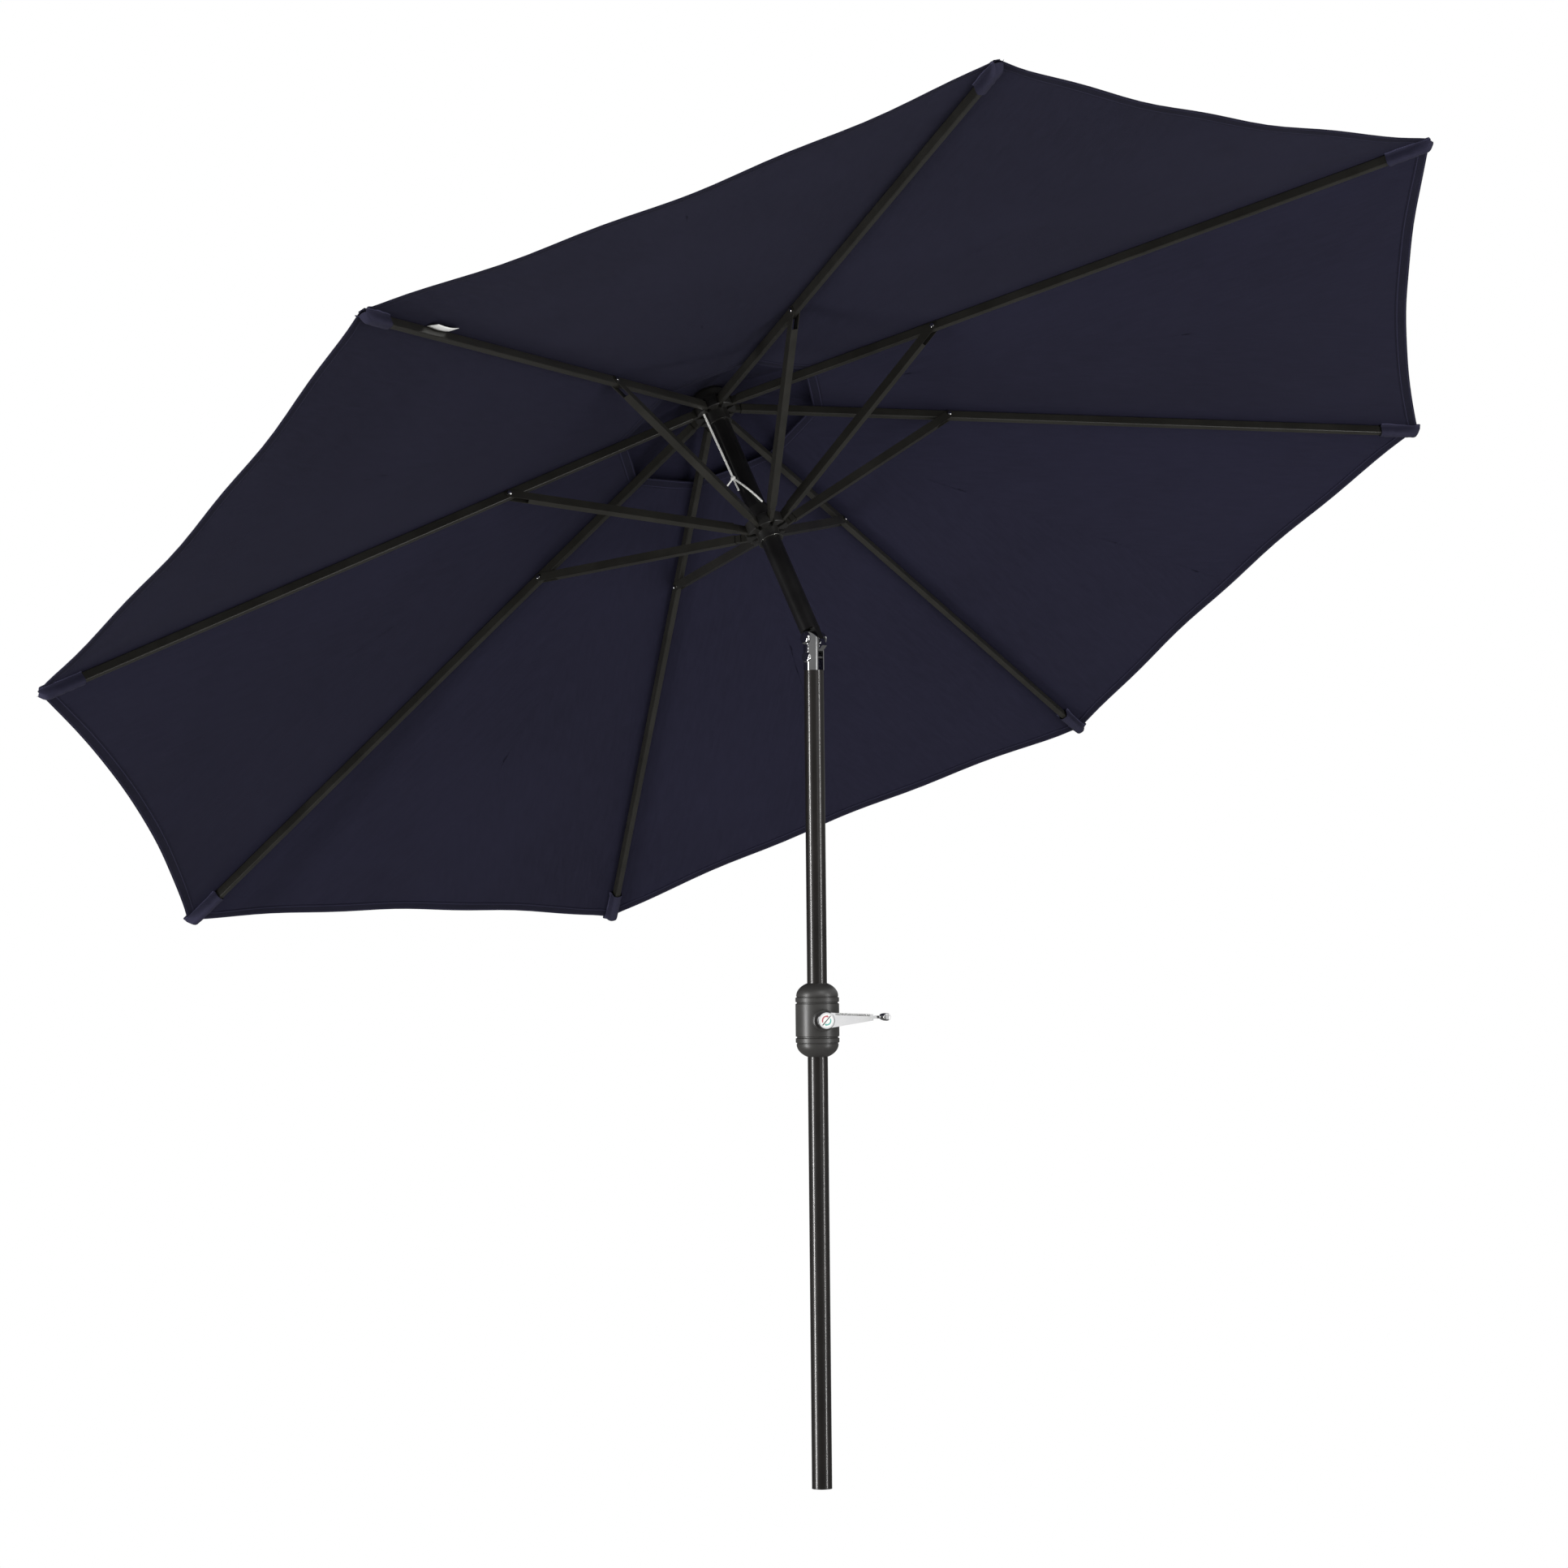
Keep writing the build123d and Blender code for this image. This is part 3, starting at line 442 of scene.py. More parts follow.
@dataclass(frozen=True)
class Cloth(Finish):
    """Plain-woven polyester.

    Attributes:
        thread: Colour of the raised threads.
        pitch: Threads in a metre.
        slub: How uneven the threads are.
        sheen: Weight of the sheen.
        stitches: Places of the rows of stitches across a strip.
    """

    gloss: float = 0.06
    relief: float = 0.00012
    strength: float = 0.35
    thread: Colour = (0.05, 0.05, 0.07)
    pitch: float = 900.0
    slub: float = 0.4
    sheen: float = 0.01
    stitches: tuple[float, ...] = ()

    def build(self) -> bpy.types.Material:
        """Return the finished material."""
        material, nodes, shader = self.begin()
        weave = nodes.add("ShaderNodeGroup", node_tree=Groups.weave, Thread=(*self.thread, 1.0),
                          Pitch=self.pitch, Slub=self.slub)
        nodes.link(shader.inputs["Base Color"].links[0].from_socket, weave.inputs["Tint"])
        colour, height = weave.outputs["Color"], weave.outputs["Height"]
        stitch_colour = (*(2.2 * part for part in self.thread), 1.0)
        for offset in self.stitches:
            mask = nodes.add("ShaderNodeGroup", node_tree=Groups.stitch, Offset=offset).outputs["Mask"]
            colour = nodes.mix("RGBA", mask, colour, stitch_colour)
            height = nodes.math("ADD", height, nodes.math("MULTIPLY", mask, 4.0))
        nodes.link(colour, shader.inputs["Base Color"])
        shader.inputs["Sheen Weight"].default_value = self.sheen
        shader.inputs["Sheen Roughness"].default_value = 0.45
        self.bump(nodes, shader, height)
        return material


class Finishes:
    """Every material of the umbrella, made once."""

    bronze = CoatedMetal("bronze_powder_coat", (0.0110, 0.0092, 0.0080), (0.0080, 0.0067, 0.0058), 0.32, 0.05,
                         9.0, coat=0.45, metallic=0.35).build()
    black = CoatedMetal("black_powder_coat", (0.0060, 0.0055, 0.0050), (0.0040, 0.0037, 0.0034), 0.34, 0.1,
                        9.0, coat=0.25).build()
    rib_coat = CoatedMetal("rib_coat", (0.0175, 0.0168, 0.0140), (0.0130, 0.0125, 0.0105), 0.36, 0.10,
                           14.0, coat=0.0, gloss=0.28).build()
    chrome = Plated("chrome_plate", (0.66, 0.66, 0.66), (0.58, 0.58, 0.59), 0.07, 0.04, 20.0).build()
    steel = Plated("bright_steel", (0.52, 0.52, 0.51), (0.40, 0.40, 0.40), 0.28, 0.12, 30.0).build()
    rim = Plated("worn_rim", (0.30, 0.30, 0.28), (0.16, 0.16, 0.15), 0.3, 0.12, 40.0).build()
    housing = Moulded("housing_abs", (0.0300, 0.0290, 0.0275), (0.0235, 0.0225, 0.0212), 0.38, 0.05,
                      12.0).build()
    nylon = Moulded("black_nylon", (0.012, 0.0115, 0.010), (0.008, 0.0076, 0.007), 0.42, 0.1, 20.0).build()
    navy = Cloth("navy_polyester", (0.0088, 0.0084, 0.0190), (0.0070, 0.0067, 0.0155), 0.78, 0.06, 2.2,
                 thread=(0.0122, 0.0117, 0.0250)).build()
    binding = Cloth("navy_binding", (0.0066, 0.0063, 0.0140), (0.0052, 0.0050, 0.0112), 0.74, 0.08, 8.0,
                    thread=(0.0098, 0.0094, 0.0200), pitch=700.0, stitches=(0.003, 0.0185)).build()
    seam = Cloth("navy_seam", (0.0080, 0.0077, 0.0172), (0.0064, 0.0061, 0.0138), 0.74, 0.08, 8.0,
                 thread=(0.0115, 0.0110, 0.0232), pitch=700.0, stitches=(0.0025, 0.0105)).build()
    pocket = Cloth("navy_pocket", (0.0150, 0.0145, 0.0280), (0.0115, 0.0110, 0.0215), 0.72, 0.08, 8.0,
                   thread=(0.0205, 0.0198, 0.0370), pitch=700.0, stitches=(0.004, 0.056)).build()
    cord = Cloth("white_braid", (0.72, 0.72, 0.69), (0.60, 0.60, 0.57), 0.6, 0.05, 60.0,
                 thread=(0.80, 0.80, 0.77), pitch=300.0, slub=0.2).build()
    label = Cloth("label_satin", (0.62, 0.62, 0.60), (0.55, 0.55, 0.53), 0.5, 0.05, 40.0,
                  thread=(0.70, 0.70, 0.68), pitch=800.0, slub=0.2).build()
    badge_plate = Moulded("badge_plate", (0.70, 0.70, 0.68), (0.62, 0.62, 0.60), 0.25, 0.05, 30.0).build()
    badge_bar = Moulded("badge_bar", (0.012, 0.012, 0.012), (0.008, 0.008, 0.008), 0.3, 0.05, 30.0).build()
    badge_red = Moulded("badge_red", (0.42, 0.10, 0.12), (0.34, 0.08, 0.10), 0.3, 0.05, 30.0).build()
    badge_teal = Moulded("badge_teal", (0.10, 0.36, 0.32), (0.08, 0.30, 0.27), 0.3, 0.05, 30.0).build()


# ---- Mesh helpers ----
def mesh_object(name: str, points: list, faces: list, material: bpy.types.Material, smooth: bool = True,
                flat: list[tuple] | None = None) -> bpy.types.Object:
    """Make a mesh object from points and faces.

    Args:
        name: The object's name.
        points: Its vertices.
        faces: Its faces, as tuples of vertex numbers.
        material: The material of every face.
        smooth: Whether its faces are shaded smooth.
        flat: Each vertex's place on the flat cloth; the list repeats if there are more vertices.

    Returns:
        The new object, linked to the scene.
    """
    mesh = bpy.data.meshes.new(name)
    mesh.from_pydata([tuple(point) for point in points], [], faces)
    mesh.materials.append(material)
    for polygon in mesh.polygons:
        polygon.use_smooth = smooth
    mesh.update()
    made = bpy.data.objects.new(name, mesh)
    bpy.context.scene.collection.objects.link(made)
    if flat:
        layer = mesh.uv_layers.new(name="cloth")
        for loop in mesh.loops:
            layer.data[loop.index].uv = flat[loop.vertex_index % len(flat)]
    return made


def grid_faces(rows: int, columns: int, closed: bool = False, first: int = 0) -> list[tuple]:
    """Return the quads of a grid of rows x columns vertices, closed across the columns if asked."""
    faces = []
    for row in range(rows - 1):
        for column in range(columns if closed else columns - 1):
            after = (column + 1) % columns
            a, b = first + row * columns + column, first + row * columns + after
            faces.append((a, b, b + columns, a + columns))
    return faces


def tube_mesh(name: str, path: list[Vector], radius: float, material: bpy.types.Material,
              sides: int = 16) -> bpy.types.Object:
    """Make a capped round tube along a path, with its own lengthwise coordinates.

    Args:
        name: The object's name.
        path: Points of the centre line.
        radius: The tube's radius.
        material: Its material.
        sides: Points round the tube.

    Returns:
        The tube object.
    """
    points, flat, travelled = [], [], 0.0
    normal = None
    for place, point in enumerate(path):
        before, after = path[max(place - 1, 0)], path[min(place + 1, len(path) - 1)]
        along = (after - before).normalized()
        if normal is None:
            normal = along.orthogonal().normalized()
        normal = (normal - along * normal.dot(along)).normalized()
        other = along.cross(normal)
        if place:
            travelled += (point - path[place - 1]).length
        for turn in range(sides):
            angle = 2 * math.pi * turn / sides
            points.append(point + (normal * math.cos(angle) + other * math.sin(angle)) * radius)
            flat.append((turn / sides * 0.012, travelled))
    faces = grid_faces(len(path), sides, closed=True)
    faces.append(tuple(reversed(range(sides))))
    faces.append(tuple(range(len(points) - sides, len(points))))
    return mesh_object(name, points, faces, material, flat=flat)


def turned(name: str, centre: Vector, axis: Vector, profile: list[tuple], material: bpy.types.Material,
           sides: int = 24, closed: bool = False) -> bpy.types.Object:
    """Make a solid of revolution.

    Args:
        name: The object's name.
        centre: A point of its axis.
        axis: The axis's direction.
        profile: (radius, height) of each ring of points.
        material: Its material.
        sides: Points round the axis.
        closed: Whether the profile closes on itself; if not, its two ends are capped.

    Returns:
        The solid.
    """
    side = axis.orthogonal().normalized()
    other = axis.cross(side)
    points = []
    for radius, height in profile:
        for turn in range(sides):
            angle = 2 * math.pi * turn / sides
            out = side * math.cos(angle) + other * math.sin(angle)
            points.append(centre + out * radius + axis * height)
    faces = grid_faces(len(profile), sides, closed=True)
    last = len(points) - sides
    if closed:
        faces += [(last + turn, last + (turn + 1) % sides, (turn + 1) % sides, turn) for turn in range(sides)]
    else:
        faces += [tuple(range(last, len(points))), tuple(reversed(range(sides)))]
    made = mesh_object(name, points, faces, material)
    fix_normals(made)
    return made


# ---- Canopy ----
@dataclass
class Canopy:
    """The eight sewn gores, each cut at its middle and carried by the two ribs beside it.

    Attributes:
        mast: The mast's axes and the ribs.
        reach: Hinge to the canopy's corner, along a rib.
        lift: Height of the cloth's underside above a rib's centre line.
        thick: Thickness of the cloth.
        opening: Where the cloth starts, measured from the apex along a rib.
        hem_rise: How far the hem curves in between two corners.
        slack: Sag of the cloth at mid-gore, as a share of the half gore's width.
        keep: Share of its width that a gore keeps when the ribs fold fully; not used.
        lap: How far a half gore runs on past mid-gore, under its neighbour.
        across: Places across the half gore, 0 on the rib and 1 at mid-gore; the last stands for the lap.
        steps: Number of steps down the gore.
        hem_width: Width of the turned hem.
        seam_width: Width of the felled seam over each rib.
    """

    mast: MastFrame
    reach: float = 1.452
    lift: float = 0.0096
    thick: float = 0.0012
    opening: float = 0.2057
    hem_rise: float = 0.034
    slack: float = 0.026
    keep: float = 0.893
    hem_width: float = 0.022
    seam_width: float = 0.013
    lap: float = 0.0034
    across: tuple[float, ...] = (0.0, 0.014, 0.03, 0.055, 0.09, 0.14, 0.2, 0.27, 0.34, 0.42, 0.5, 0.58,
                                 0.66, 0.74, 0.82, 0.9, 0.96, 1.0, 1.001)
    steps: int = 64

    def __post_init__(self) -> None:
        """Work out the apex and the length of a gore's middle line."""
        rib = self.mast.ribs[0]
        corner = rib.hinge + rib.run * self.reach + rib.rise * self.lift
        slope = rib.run.dot(-self.mast.up)
        out = math.sqrt(1 - slope ** 2)
        top = self.mast.hinge_radius * slope / out + self.lift / out
        self.apex = self.mast.hub + self.mast.up * top
        self.rib_line = (corner - self.apex).length
        other = self.corner(self.mast.ribs[1])
        self.half_chord = (other - corner).length / 2
        self.middle_line = math.sqrt(self.rib_line ** 2 - self.half_chord ** 2)
        self.start = self.opening / self.rib_line
        self.columns = [(Side.RIGHT, u) for u in reversed(self.across[1:])]
        self.columns += [(Side.LEFT, u) for u in self.across]

    def corner(self, rib: RibPlace) -> Vector:
        """Return the canopy's corner on a rib."""
        return rib.hinge + rib.run * self.reach + rib.rise * self.lift

    def hem_share(self, u: float) -> float:
        """Return how far down the gore the hem lies, as a share, at a place across the half gore."""
        return 1 - self.hem_rise * (1 - (1 - u) ** 2) / self.middle_line

    def billow(self, gore: int, q: float, share: float) -> float:
        """Return the small waves that sewing and tension leave in the cloth.

        Args:
            gore: Number of the gore.
            q: Place across the whole gore, 0 at one rib and 1 at the next.
            share: Place down the gore, 0 at the apex and 1 at the chord of its corners.

        Returns:
            Height of the wave, in metres.
        """
        phase = 2.1 * gore
        clear = min(1.0, max(0.0, (0.5 - abs(q - 0.5)) * share * 2 * self.half_chord / 0.05 - 0.2))
        near_hem = math.exp(-(self.hem_share(1 - abs(2 * q - 1)) - share) * self.middle_line / 0.09)
        wave = 0.0022 * near_hem * math.sin(2 * math.pi * (3.4 * q + 0.3 * math.sin(phase)) + phase)
        wave += 0.0012 * math.sin(math.pi * q) * math.sin(7.5 * share + 3.0 * q + phase)
        for end in (0, 1):
            away = abs(q - end) * 2 * self.half_chord * share
            back = (1 - share) * self.middle_line
            distance = math.hypot(away, back)
            angle = math.atan2(away, max(back, 1e-6))
            wave += 0.0022 * math.exp(-distance / 0.16) * math.sin(11 * angle + phase + end)
        return wave * clear

    def surface(self, rib: RibPlace, side: Side, u: float, share: float) -> tuple[Vector, Vector]:
        """Return a point of the cloth's underside and the outward direction there.

        Args:
            rib: The rib that carries it.
            side: Which side of the rib.
            u: Place across, 0 on the rib and 1 at mid-gore.
            share: Place down the gore, 0 at the apex and 1 at the chord of its corners.

        Returns:
            The point and the gore's outward normal.
        """
        here = self.apex + (self.corner(rib) - self.apex) * share
        there = self.apex + (self.corner(self.mast.neighbour(rib, side)) - self.apex) * share
        middle = (here + there) / 2
        flat = here + (middle - here) * min(u, 1.0)
        if u > 1:
            flat += (middle - here).normalized() * self.lap
        normal = (self.corner(rib) - self.apex).cross(there - here).normalized() * side.value
        if normal.dot(self.mast.up) < 0:
            normal = -normal
        width = (middle - here).length
        gore = rib.number if side is Side.LEFT else (rib.number - 2) % len(self.mast.ribs) + 1
        q = u / 2 if side is Side.LEFT else 1 - u / 2
        bow = math.sin(math.pi * min(1.0, share ** 0.8)) * 0.35 + 0.65
        drop = self.slack * width * (1 - (1 - min(u, 1.0)) ** 2) * bow
        return flat - normal * (drop - self.billow(gore, q, share)), normal

    def build_gore(self, rib: RibPlace) -> bpy.types.Object:
        """Build the cloth carried by one rib: the half gores on its two sides.

        Args:
            rib: The rib.

        Returns:
            The cloth as one piece.
        """
        lower, upper, flat = [], [], []
        for step in range(self.steps + 1):
            along = step / self.steps
            for side, u in self.columns:
                share = self.start + (self.hem_share(min(u, 1.0)) - self.start) * along
                point, normal = self.surface(rib, side, u, share)
                lower.append(point)
                upper.append(point + normal * self.thick)
                flat.append((side.value * u * self.half_chord * share, share * self.rib_line))
        count, rows = len(self.columns), self.steps + 1
        under = [tuple(reversed(face)) for face in grid_faces(rows, count)]
        over = grid_faces(rows, count, first=len(lower))
        last = (rows - 1) * count
        edge = [(first + row * count, first + (row + 1) * count) for first in (0, count - 1)
                for row in range(rows - 1)]
        edge += [(first + column, first + column + 1) for first in (0, last) for column in range(count - 1)]
        walls = [(a, b, b + len(lower), a + len(lower)) for a, b in edge]
        gore = mesh_object(f"canopy_gore_{rib.number}", lower + upper, under + over + walls, Finishes.navy,
                           flat=flat)
        fix_normals(gore)
        crisp_walls(gore)
        return gore

    def strip(self, name: str, line: list[tuple[Vector, Vector]], inward: list[Vector], width: float,
              thick: float, side: int, finish: bpy.types.Material) -> bpy.types.Object:
        """Build a sewn strip that lies on the cloth.

        Args:
            name: The piece's name.
            line: Points of its outer edge and the cloth's normal at each.
            inward: Direction across the strip at each point.
            width: Its width.
            thick: Its thickness.
            side: 1 to lie on the cloth's upper face and -1 on its underside.
            finish: Its material.

        Returns:
            The strip.
        """
        shape = ((0.0, 0.0), (0.0, 0.8), (0.08, 1.0), (0.5, 1.0), (0.92, 1.0), (1.0, 0.8), (1.0, 0.0))
        points, flat, run = [], [], 0.0
        for place, ((point, normal), across) in enumerate(zip(line, inward)):
            if place:
                run += (point - line[place - 1][0]).length
            base = point + normal * (self.thick if side > 0 else 0.0)
            for x, z in shape:
                points.append(base + across * (x * width) + normal * (side * z * thick))
                flat.append((x * width, run))
        made = mesh_object(name, points, grid_faces(len(line), len(shape)), finish, flat=flat)
        fix_normals(made)
        crisp_walls(made, 60.0)
        return made

    def rim_strip(self, name: str, rib: RibPlace, edge: Callable[[float], float], step: float,
                  thick: float) -> bpy.types.Object:
        """Build a bound strip under the cloth, across the two half gores of one rib.

        Args:
            name: The piece's name.
            rib: The rib.
            edge: Gives how far down the gore the strip's outer edge is at a place across.
            step: How much further down the gore its other side lies.
            thick: Its thickness.

        Returns:
            The strip.
        """
        line, inward = [], []
        for side, u in self.columns:
            share = edge(min(u, 1.0))
            point, normal = self.surface(rib, side, u, share)
            ahead, _ = self.surface(rib, side, u, share + step)
            inward.append((ahead - point).normalized())
            line.append((point, normal))
        return self.strip(name, line, inward, self.hem_width, thick, -1, Finishes.binding)

    def build_seam(self, rib: RibPlace) -> bpy.types.Object:
        """Build the felled seam on top of the cloth, over one rib."""
        line, inward, steps = [], [], 24
        for step in range(steps + 1):
            share = self.start + (0.998 - self.start) * step / steps
            point, _ = self.surface(rib, Side.LEFT, 0.0, share)
            line.append((point - rib.tangent * (self.seam_width / 2), rib.rise))
            inward.append(rib.tangent)
        return self.strip(f"seam_{rib.number}", line, inward, self.seam_width, 0.0009, 1, Finishes.seam)

    def build(self) -> None:
        """Build the gores with their hems, seams and bands, and hang them on their ribs."""
        for rib in self.mast.ribs:
            gore = self.build_gore(rib)
            hem = self.rim_strip(f"hem_{rib.number}", rib, self.hem_share, -self.hem_width / self.rib_line,
                                 0.0009)
            seam = self.build_seam(rib)
            band = self.rim_strip(f"opening_band_{rib.number}", rib, lambda u: self.start, 0.02, 0.0004)
            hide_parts(f"canopy_panel_{rib.number}")
            for piece in (gore, hem, seam, band):
                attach(piece, rib.body)
                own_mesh(piece)
        LOG.info("canopy: %d gores with hems, seams and opening bands", len(self.mast.ribs))


@dataclass
class CornerPockets:
    """The sewn pocket that takes each rib's end, and the blank care label at one of them.

    Attributes:
        canopy: The canopy that they are sewn to.
        start: Where a pocket's mouth is, along its rib.
        end: Where its closed end is.
        rib_end: Where the rib inside it stops.
        labelled: Number of the rib with the label.
        label_start: Where the label starts, along that rib.
    """

    canopy: Canopy
    start: float = 1.366
    end: float = 1.4535
    rib_end: float = 1.4470
    labelled: int = 3
    label_start: float = 1.145

    def section(self, x: float, number: int) -> list[tuple[float, float]]:
        """Return the pocket's outline across the rib as (tangent, rise) points, open at the top."""
        share = (x - self.start) / (self.end - self.start)
        tip = max(0.0, (share - 0.80) / 0.20)
        half = 0.0078 + 0.0018 * abs(math.sin(9 * share + number)) * (1 - share) - 0.0004 * tip ** 2
        drop = -0.0114 - 0.0014 * abs(math.sin(13 * share + 2 * number)) * (1 - tip) + 0.0008 * tip ** 2
        closed = max(0.0, (x - self.rib_end) / (self.end - self.rib_end))
        drop += (0.0055 - drop) * closed
        top, flare = 0.0094, 0.007 + 0.003 * math.cos(5 * share + number)
        right = [(-half - flare, top), (-half - 0.001, top - 0.003), (-half, 0.3 * top),
                 (-half * 1.04, 0.55 * drop), (-half * 0.8, 0.92 * drop)]
        return [*right, (0.0, drop), *((-across, rise) for across, rise in reversed(right))]

    def build_pocket(self, rib: RibPlace) -> bpy.types.Object:
        """Build one pocket round the end of a rib."""
        rows, points, flat = 18, [], []
        for row in range(rows):
            x = self.start + (self.end - self.start) * row / (rows - 1)
            outline = self.section(x, rib.number)
            for place, (across, rise) in enumerate(outline):
                points.append(rib.hinge + rib.run * x + rib.tangent * across + rib.rise * rise)
                flat.append((place * 0.006, x))
        pocket = mesh_object(f"corner_pocket_{rib.number}", points, grid_faces(rows, len(outline)),
                             Finishes.pocket, flat=flat)
        fix_normals(pocket)
        thicken(pocket, 0.0009)
        soften(pocket)
        return pocket

    def build_label(self, rib: RibPlace) -> bpy.types.Object:
        """Build the blank woven label beside a pocket, a little curled."""
        points, flat, rows, columns = [], [], 9, 5
        length, width = 0.082, 0.020
        for row in range(rows):
            for column in range(columns):
                along, over = row / (rows - 1), column / (columns - 1)
                y = 0.0075 + width * over
                z = 0.0072 - 0.0055 * over - 0.003 * math.sin(math.pi * along) - 0.004 * along * over
                points.append(rib.hinge + rib.run * (self.label_start + length * along) + rib.tangent * y
                              + rib.rise * z)
                flat.append((over * width, along * length))
        label = mesh_object("care_label", points, grid_faces(rows, columns), Finishes.label, flat=flat)
        thicken(label, 0.0005)
        return label

    def build(self) -> None:
        """Build every pocket and the label, each on its rib."""
        for rib in self.canopy.mast.ribs:
            pocket = self.build_pocket(rib)
            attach(pocket, rib.body)
        label = self.build_label(self.canopy.mast.ribs[self.labelled - 1])
        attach(label, f"rib_{self.labelled}")
        LOG.info("corner pockets and the blank label")


@dataclass
class VentCap:
    """The small top canopy over the opening, clamped under the finial.

    Attributes:
        canopy: The canopy below it.
        rim_radius: Its corners' distance from the mast.
        rim_height: Its corners' height above the tilt hinge, along the mast.
        top_radius: Radius of its clamped middle.
        top_height: Height of its clamped middle.
        thick: Thickness of its cloth.
    """

    canopy: Canopy
    rim_radius: float = 0.285
    rim_height: float = 0.4958
    top_radius: float = 0.0241
    top_height: float = 0.5712
    thick: float = 0.0012

    def point(self, azimuth: float, along: float) -> Vector:
        """Return a point of the cap's underside.

        Args:
            azimuth: Degrees about the mast.
            along: 0 at the clamped middle and 1 at the rim.

        Returns:
            The point.
        """
        half = 180.0 / len(self.canopy.mast.ribs)
        turn = abs((azimuth - half) % (2 * half) - half)
        middle = 1 - turn / half
        flat = math.cos(math.radians(half)) / math.cos(math.radians(half - turn))
        edge = self.rim_radius * flat - 0.007 * (1 - (1 - middle) ** 2)
        radius = self.top_radius + (edge - self.top_radius) * along
        height = self.top_height + (self.rim_height - self.top_height) * along
        sink = 0.004 * math.sin(math.pi * along) * middle
        return self.canopy.mast.at(radius, azimuth, height - sink)

    def build(self) -> None:
        """Build the cap and its hem, on the mast."""
        around, steps = 128, 22
        lower = [self.point(360 * turn / around, step / steps) for step in range(steps + 1)
                 for turn in range(around)]
        upper = [point + self.canopy.mast.up * self.thick for point in lower]
        faces = [tuple(reversed(face)) for face in grid_faces(steps + 1, around, closed=True)]
        faces += grid_faces(steps + 1, around, closed=True, first=len(lower))
        for first in (0, steps * around):
            faces += [(first + turn, first + (turn + 1) % around, first + (turn + 1) % around + len(lower),
                       first + turn + len(lower)) for turn in range(around)]
        mast = self.canopy.mast
        flat = [((point - mast.pivot).dot(mast.lean), point.y - mast.pivot.y) for point in lower + upper]
        cap = mesh_object("vent_cap_cloth", lower + upper, faces, Finishes.navy, flat=flat)
        fix_normals(cap)
        rim = [self.point(360 * turn / around, 1.0) for turn in range(around + 1)]
        inner = [self.point(360 * turn / around, 0.94) for turn in range(around + 1)]
        hem = self.canopy.strip("vent_cap_hem", [(point, mast.up) for point in rim],
                                [(b - a).normalized() for a, b in zip(rim, inner)], 0.022, 0.0008, 1,
                                Finishes.binding)
        for piece in (cap, hem):
            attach(piece, "mast")
        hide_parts("vent_cap")
        LOG.info("vent cap")


# ---- Small fittings ----
@dataclass
class Fittings:
    """Small bright parts added to the frame: the rims of the two sleeves and the rivets' heads.

    Attributes:
        mast: The mast's axes and the ribs.
        strut_at: Distance from a rib's hinge to its strut's pivot.
        strut_length: Distance between a strut's two pivots.
        rim_wire: Radius of a rim's rolled edge.
        rivet_base: Distance of a rivet head's base from the rib's middle.
        rivet_size: Radius and height of a rivet's head.
    """

    mast: MastFrame
    strut_at: float = 0.445
    strut_length: float = 0.466
    rim_wire: float = 0.0004
    rivet_base: float = 0.0086
    rivet_size: tuple[float, float] = (0.0046, 0.0022)

    def build(self) -> None:
        """Build the rims and rivets, each on its body."""
        corners = 12
        bends = [2 * math.pi * corner / corners for corner in range(corners)]
        radius, height = self.rivet_size
        dome = [(radius * share, height * rise) for share, rise in
                ((1.0, 0.0), (1.0, 0.22), (0.93, 0.48), (0.75, 0.76), (0.5, 0.93), (0.25, 1.0))]
        pivot = Vector(joint_named("strut_1_fold")["pos_m"])
        out = (pivot - self.mast.foot_on_axis(pivot)).length - self.mast.hinge_radius
        fall = math.sqrt(self.strut_length ** 2 - out ** 2)
        runner_height = (pivot - self.mast.pivot).dot(self.mast.up) - fall
        hub = self.mast.hub_height
        rims = (("hub_sleeve_rim", hub - 0.0318, 0.0231, "mast"),
                ("runner_sleeve_rim", runner_height - 0.0300, 0.0240, "runner"))
        for name, height, radius, body in rims:
            profile = [(radius + self.rim_wire * math.cos(bend), self.rim_wire * math.sin(bend))
                       for bend in bends]
            centre = self.mast.at(0, 0, height)
            ring = turned(name, centre, self.mast.up, profile, Finishes.rim, sides=64, closed=True)
            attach(ring, body)
        for rib in self.mast.ribs:
            pivot = rib.hinge + rib.run * self.strut_at
            for side in Side:
                out = rib.tangent * side.value
                rivet = turned(f"rib_{rib.number}_rivet_{side.name.lower()}", pivot + out * self.rivet_base,
                               out, dome, Finishes.chrome)
                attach(rivet, rib.body)


@dataclass
class LiftCord:
    """The run of the lift cord from the hub down to its knot on the runner.

    Attributes:
        mast: The mast's axes.
        bearing: Where the run lies about the mast, in degrees.
        top: Radius and height of its upper end.
        bottom: Radius and height of its lower end.
        radius: The cord's radius.
    """

    mast: MastFrame
    bearing: float = 84.0
    top: tuple[float, float] = (0.030, 0.550)
    bottom: tuple[float, float] = (0.0255, 0.371)
    radius: float = 0.002

    def build(self) -> None:
        """Build the run between its two ends, and hide the frame's own drop of cord."""
        upper = self.mast.at(self.top[0], self.bearing, self.top[1])
        lower = self.mast.at(self.bottom[0], self.bearing, self.bottom[1])
        steps = 24
        path = [upper.lerp(lower, step / steps) for step in range(steps + 1)]
        run = tube_mesh("lift_cord_run", path, self.radius, Finishes.cord)
        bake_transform(run)
        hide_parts("lift_cord_drop")
        LOG.info("lift cord")


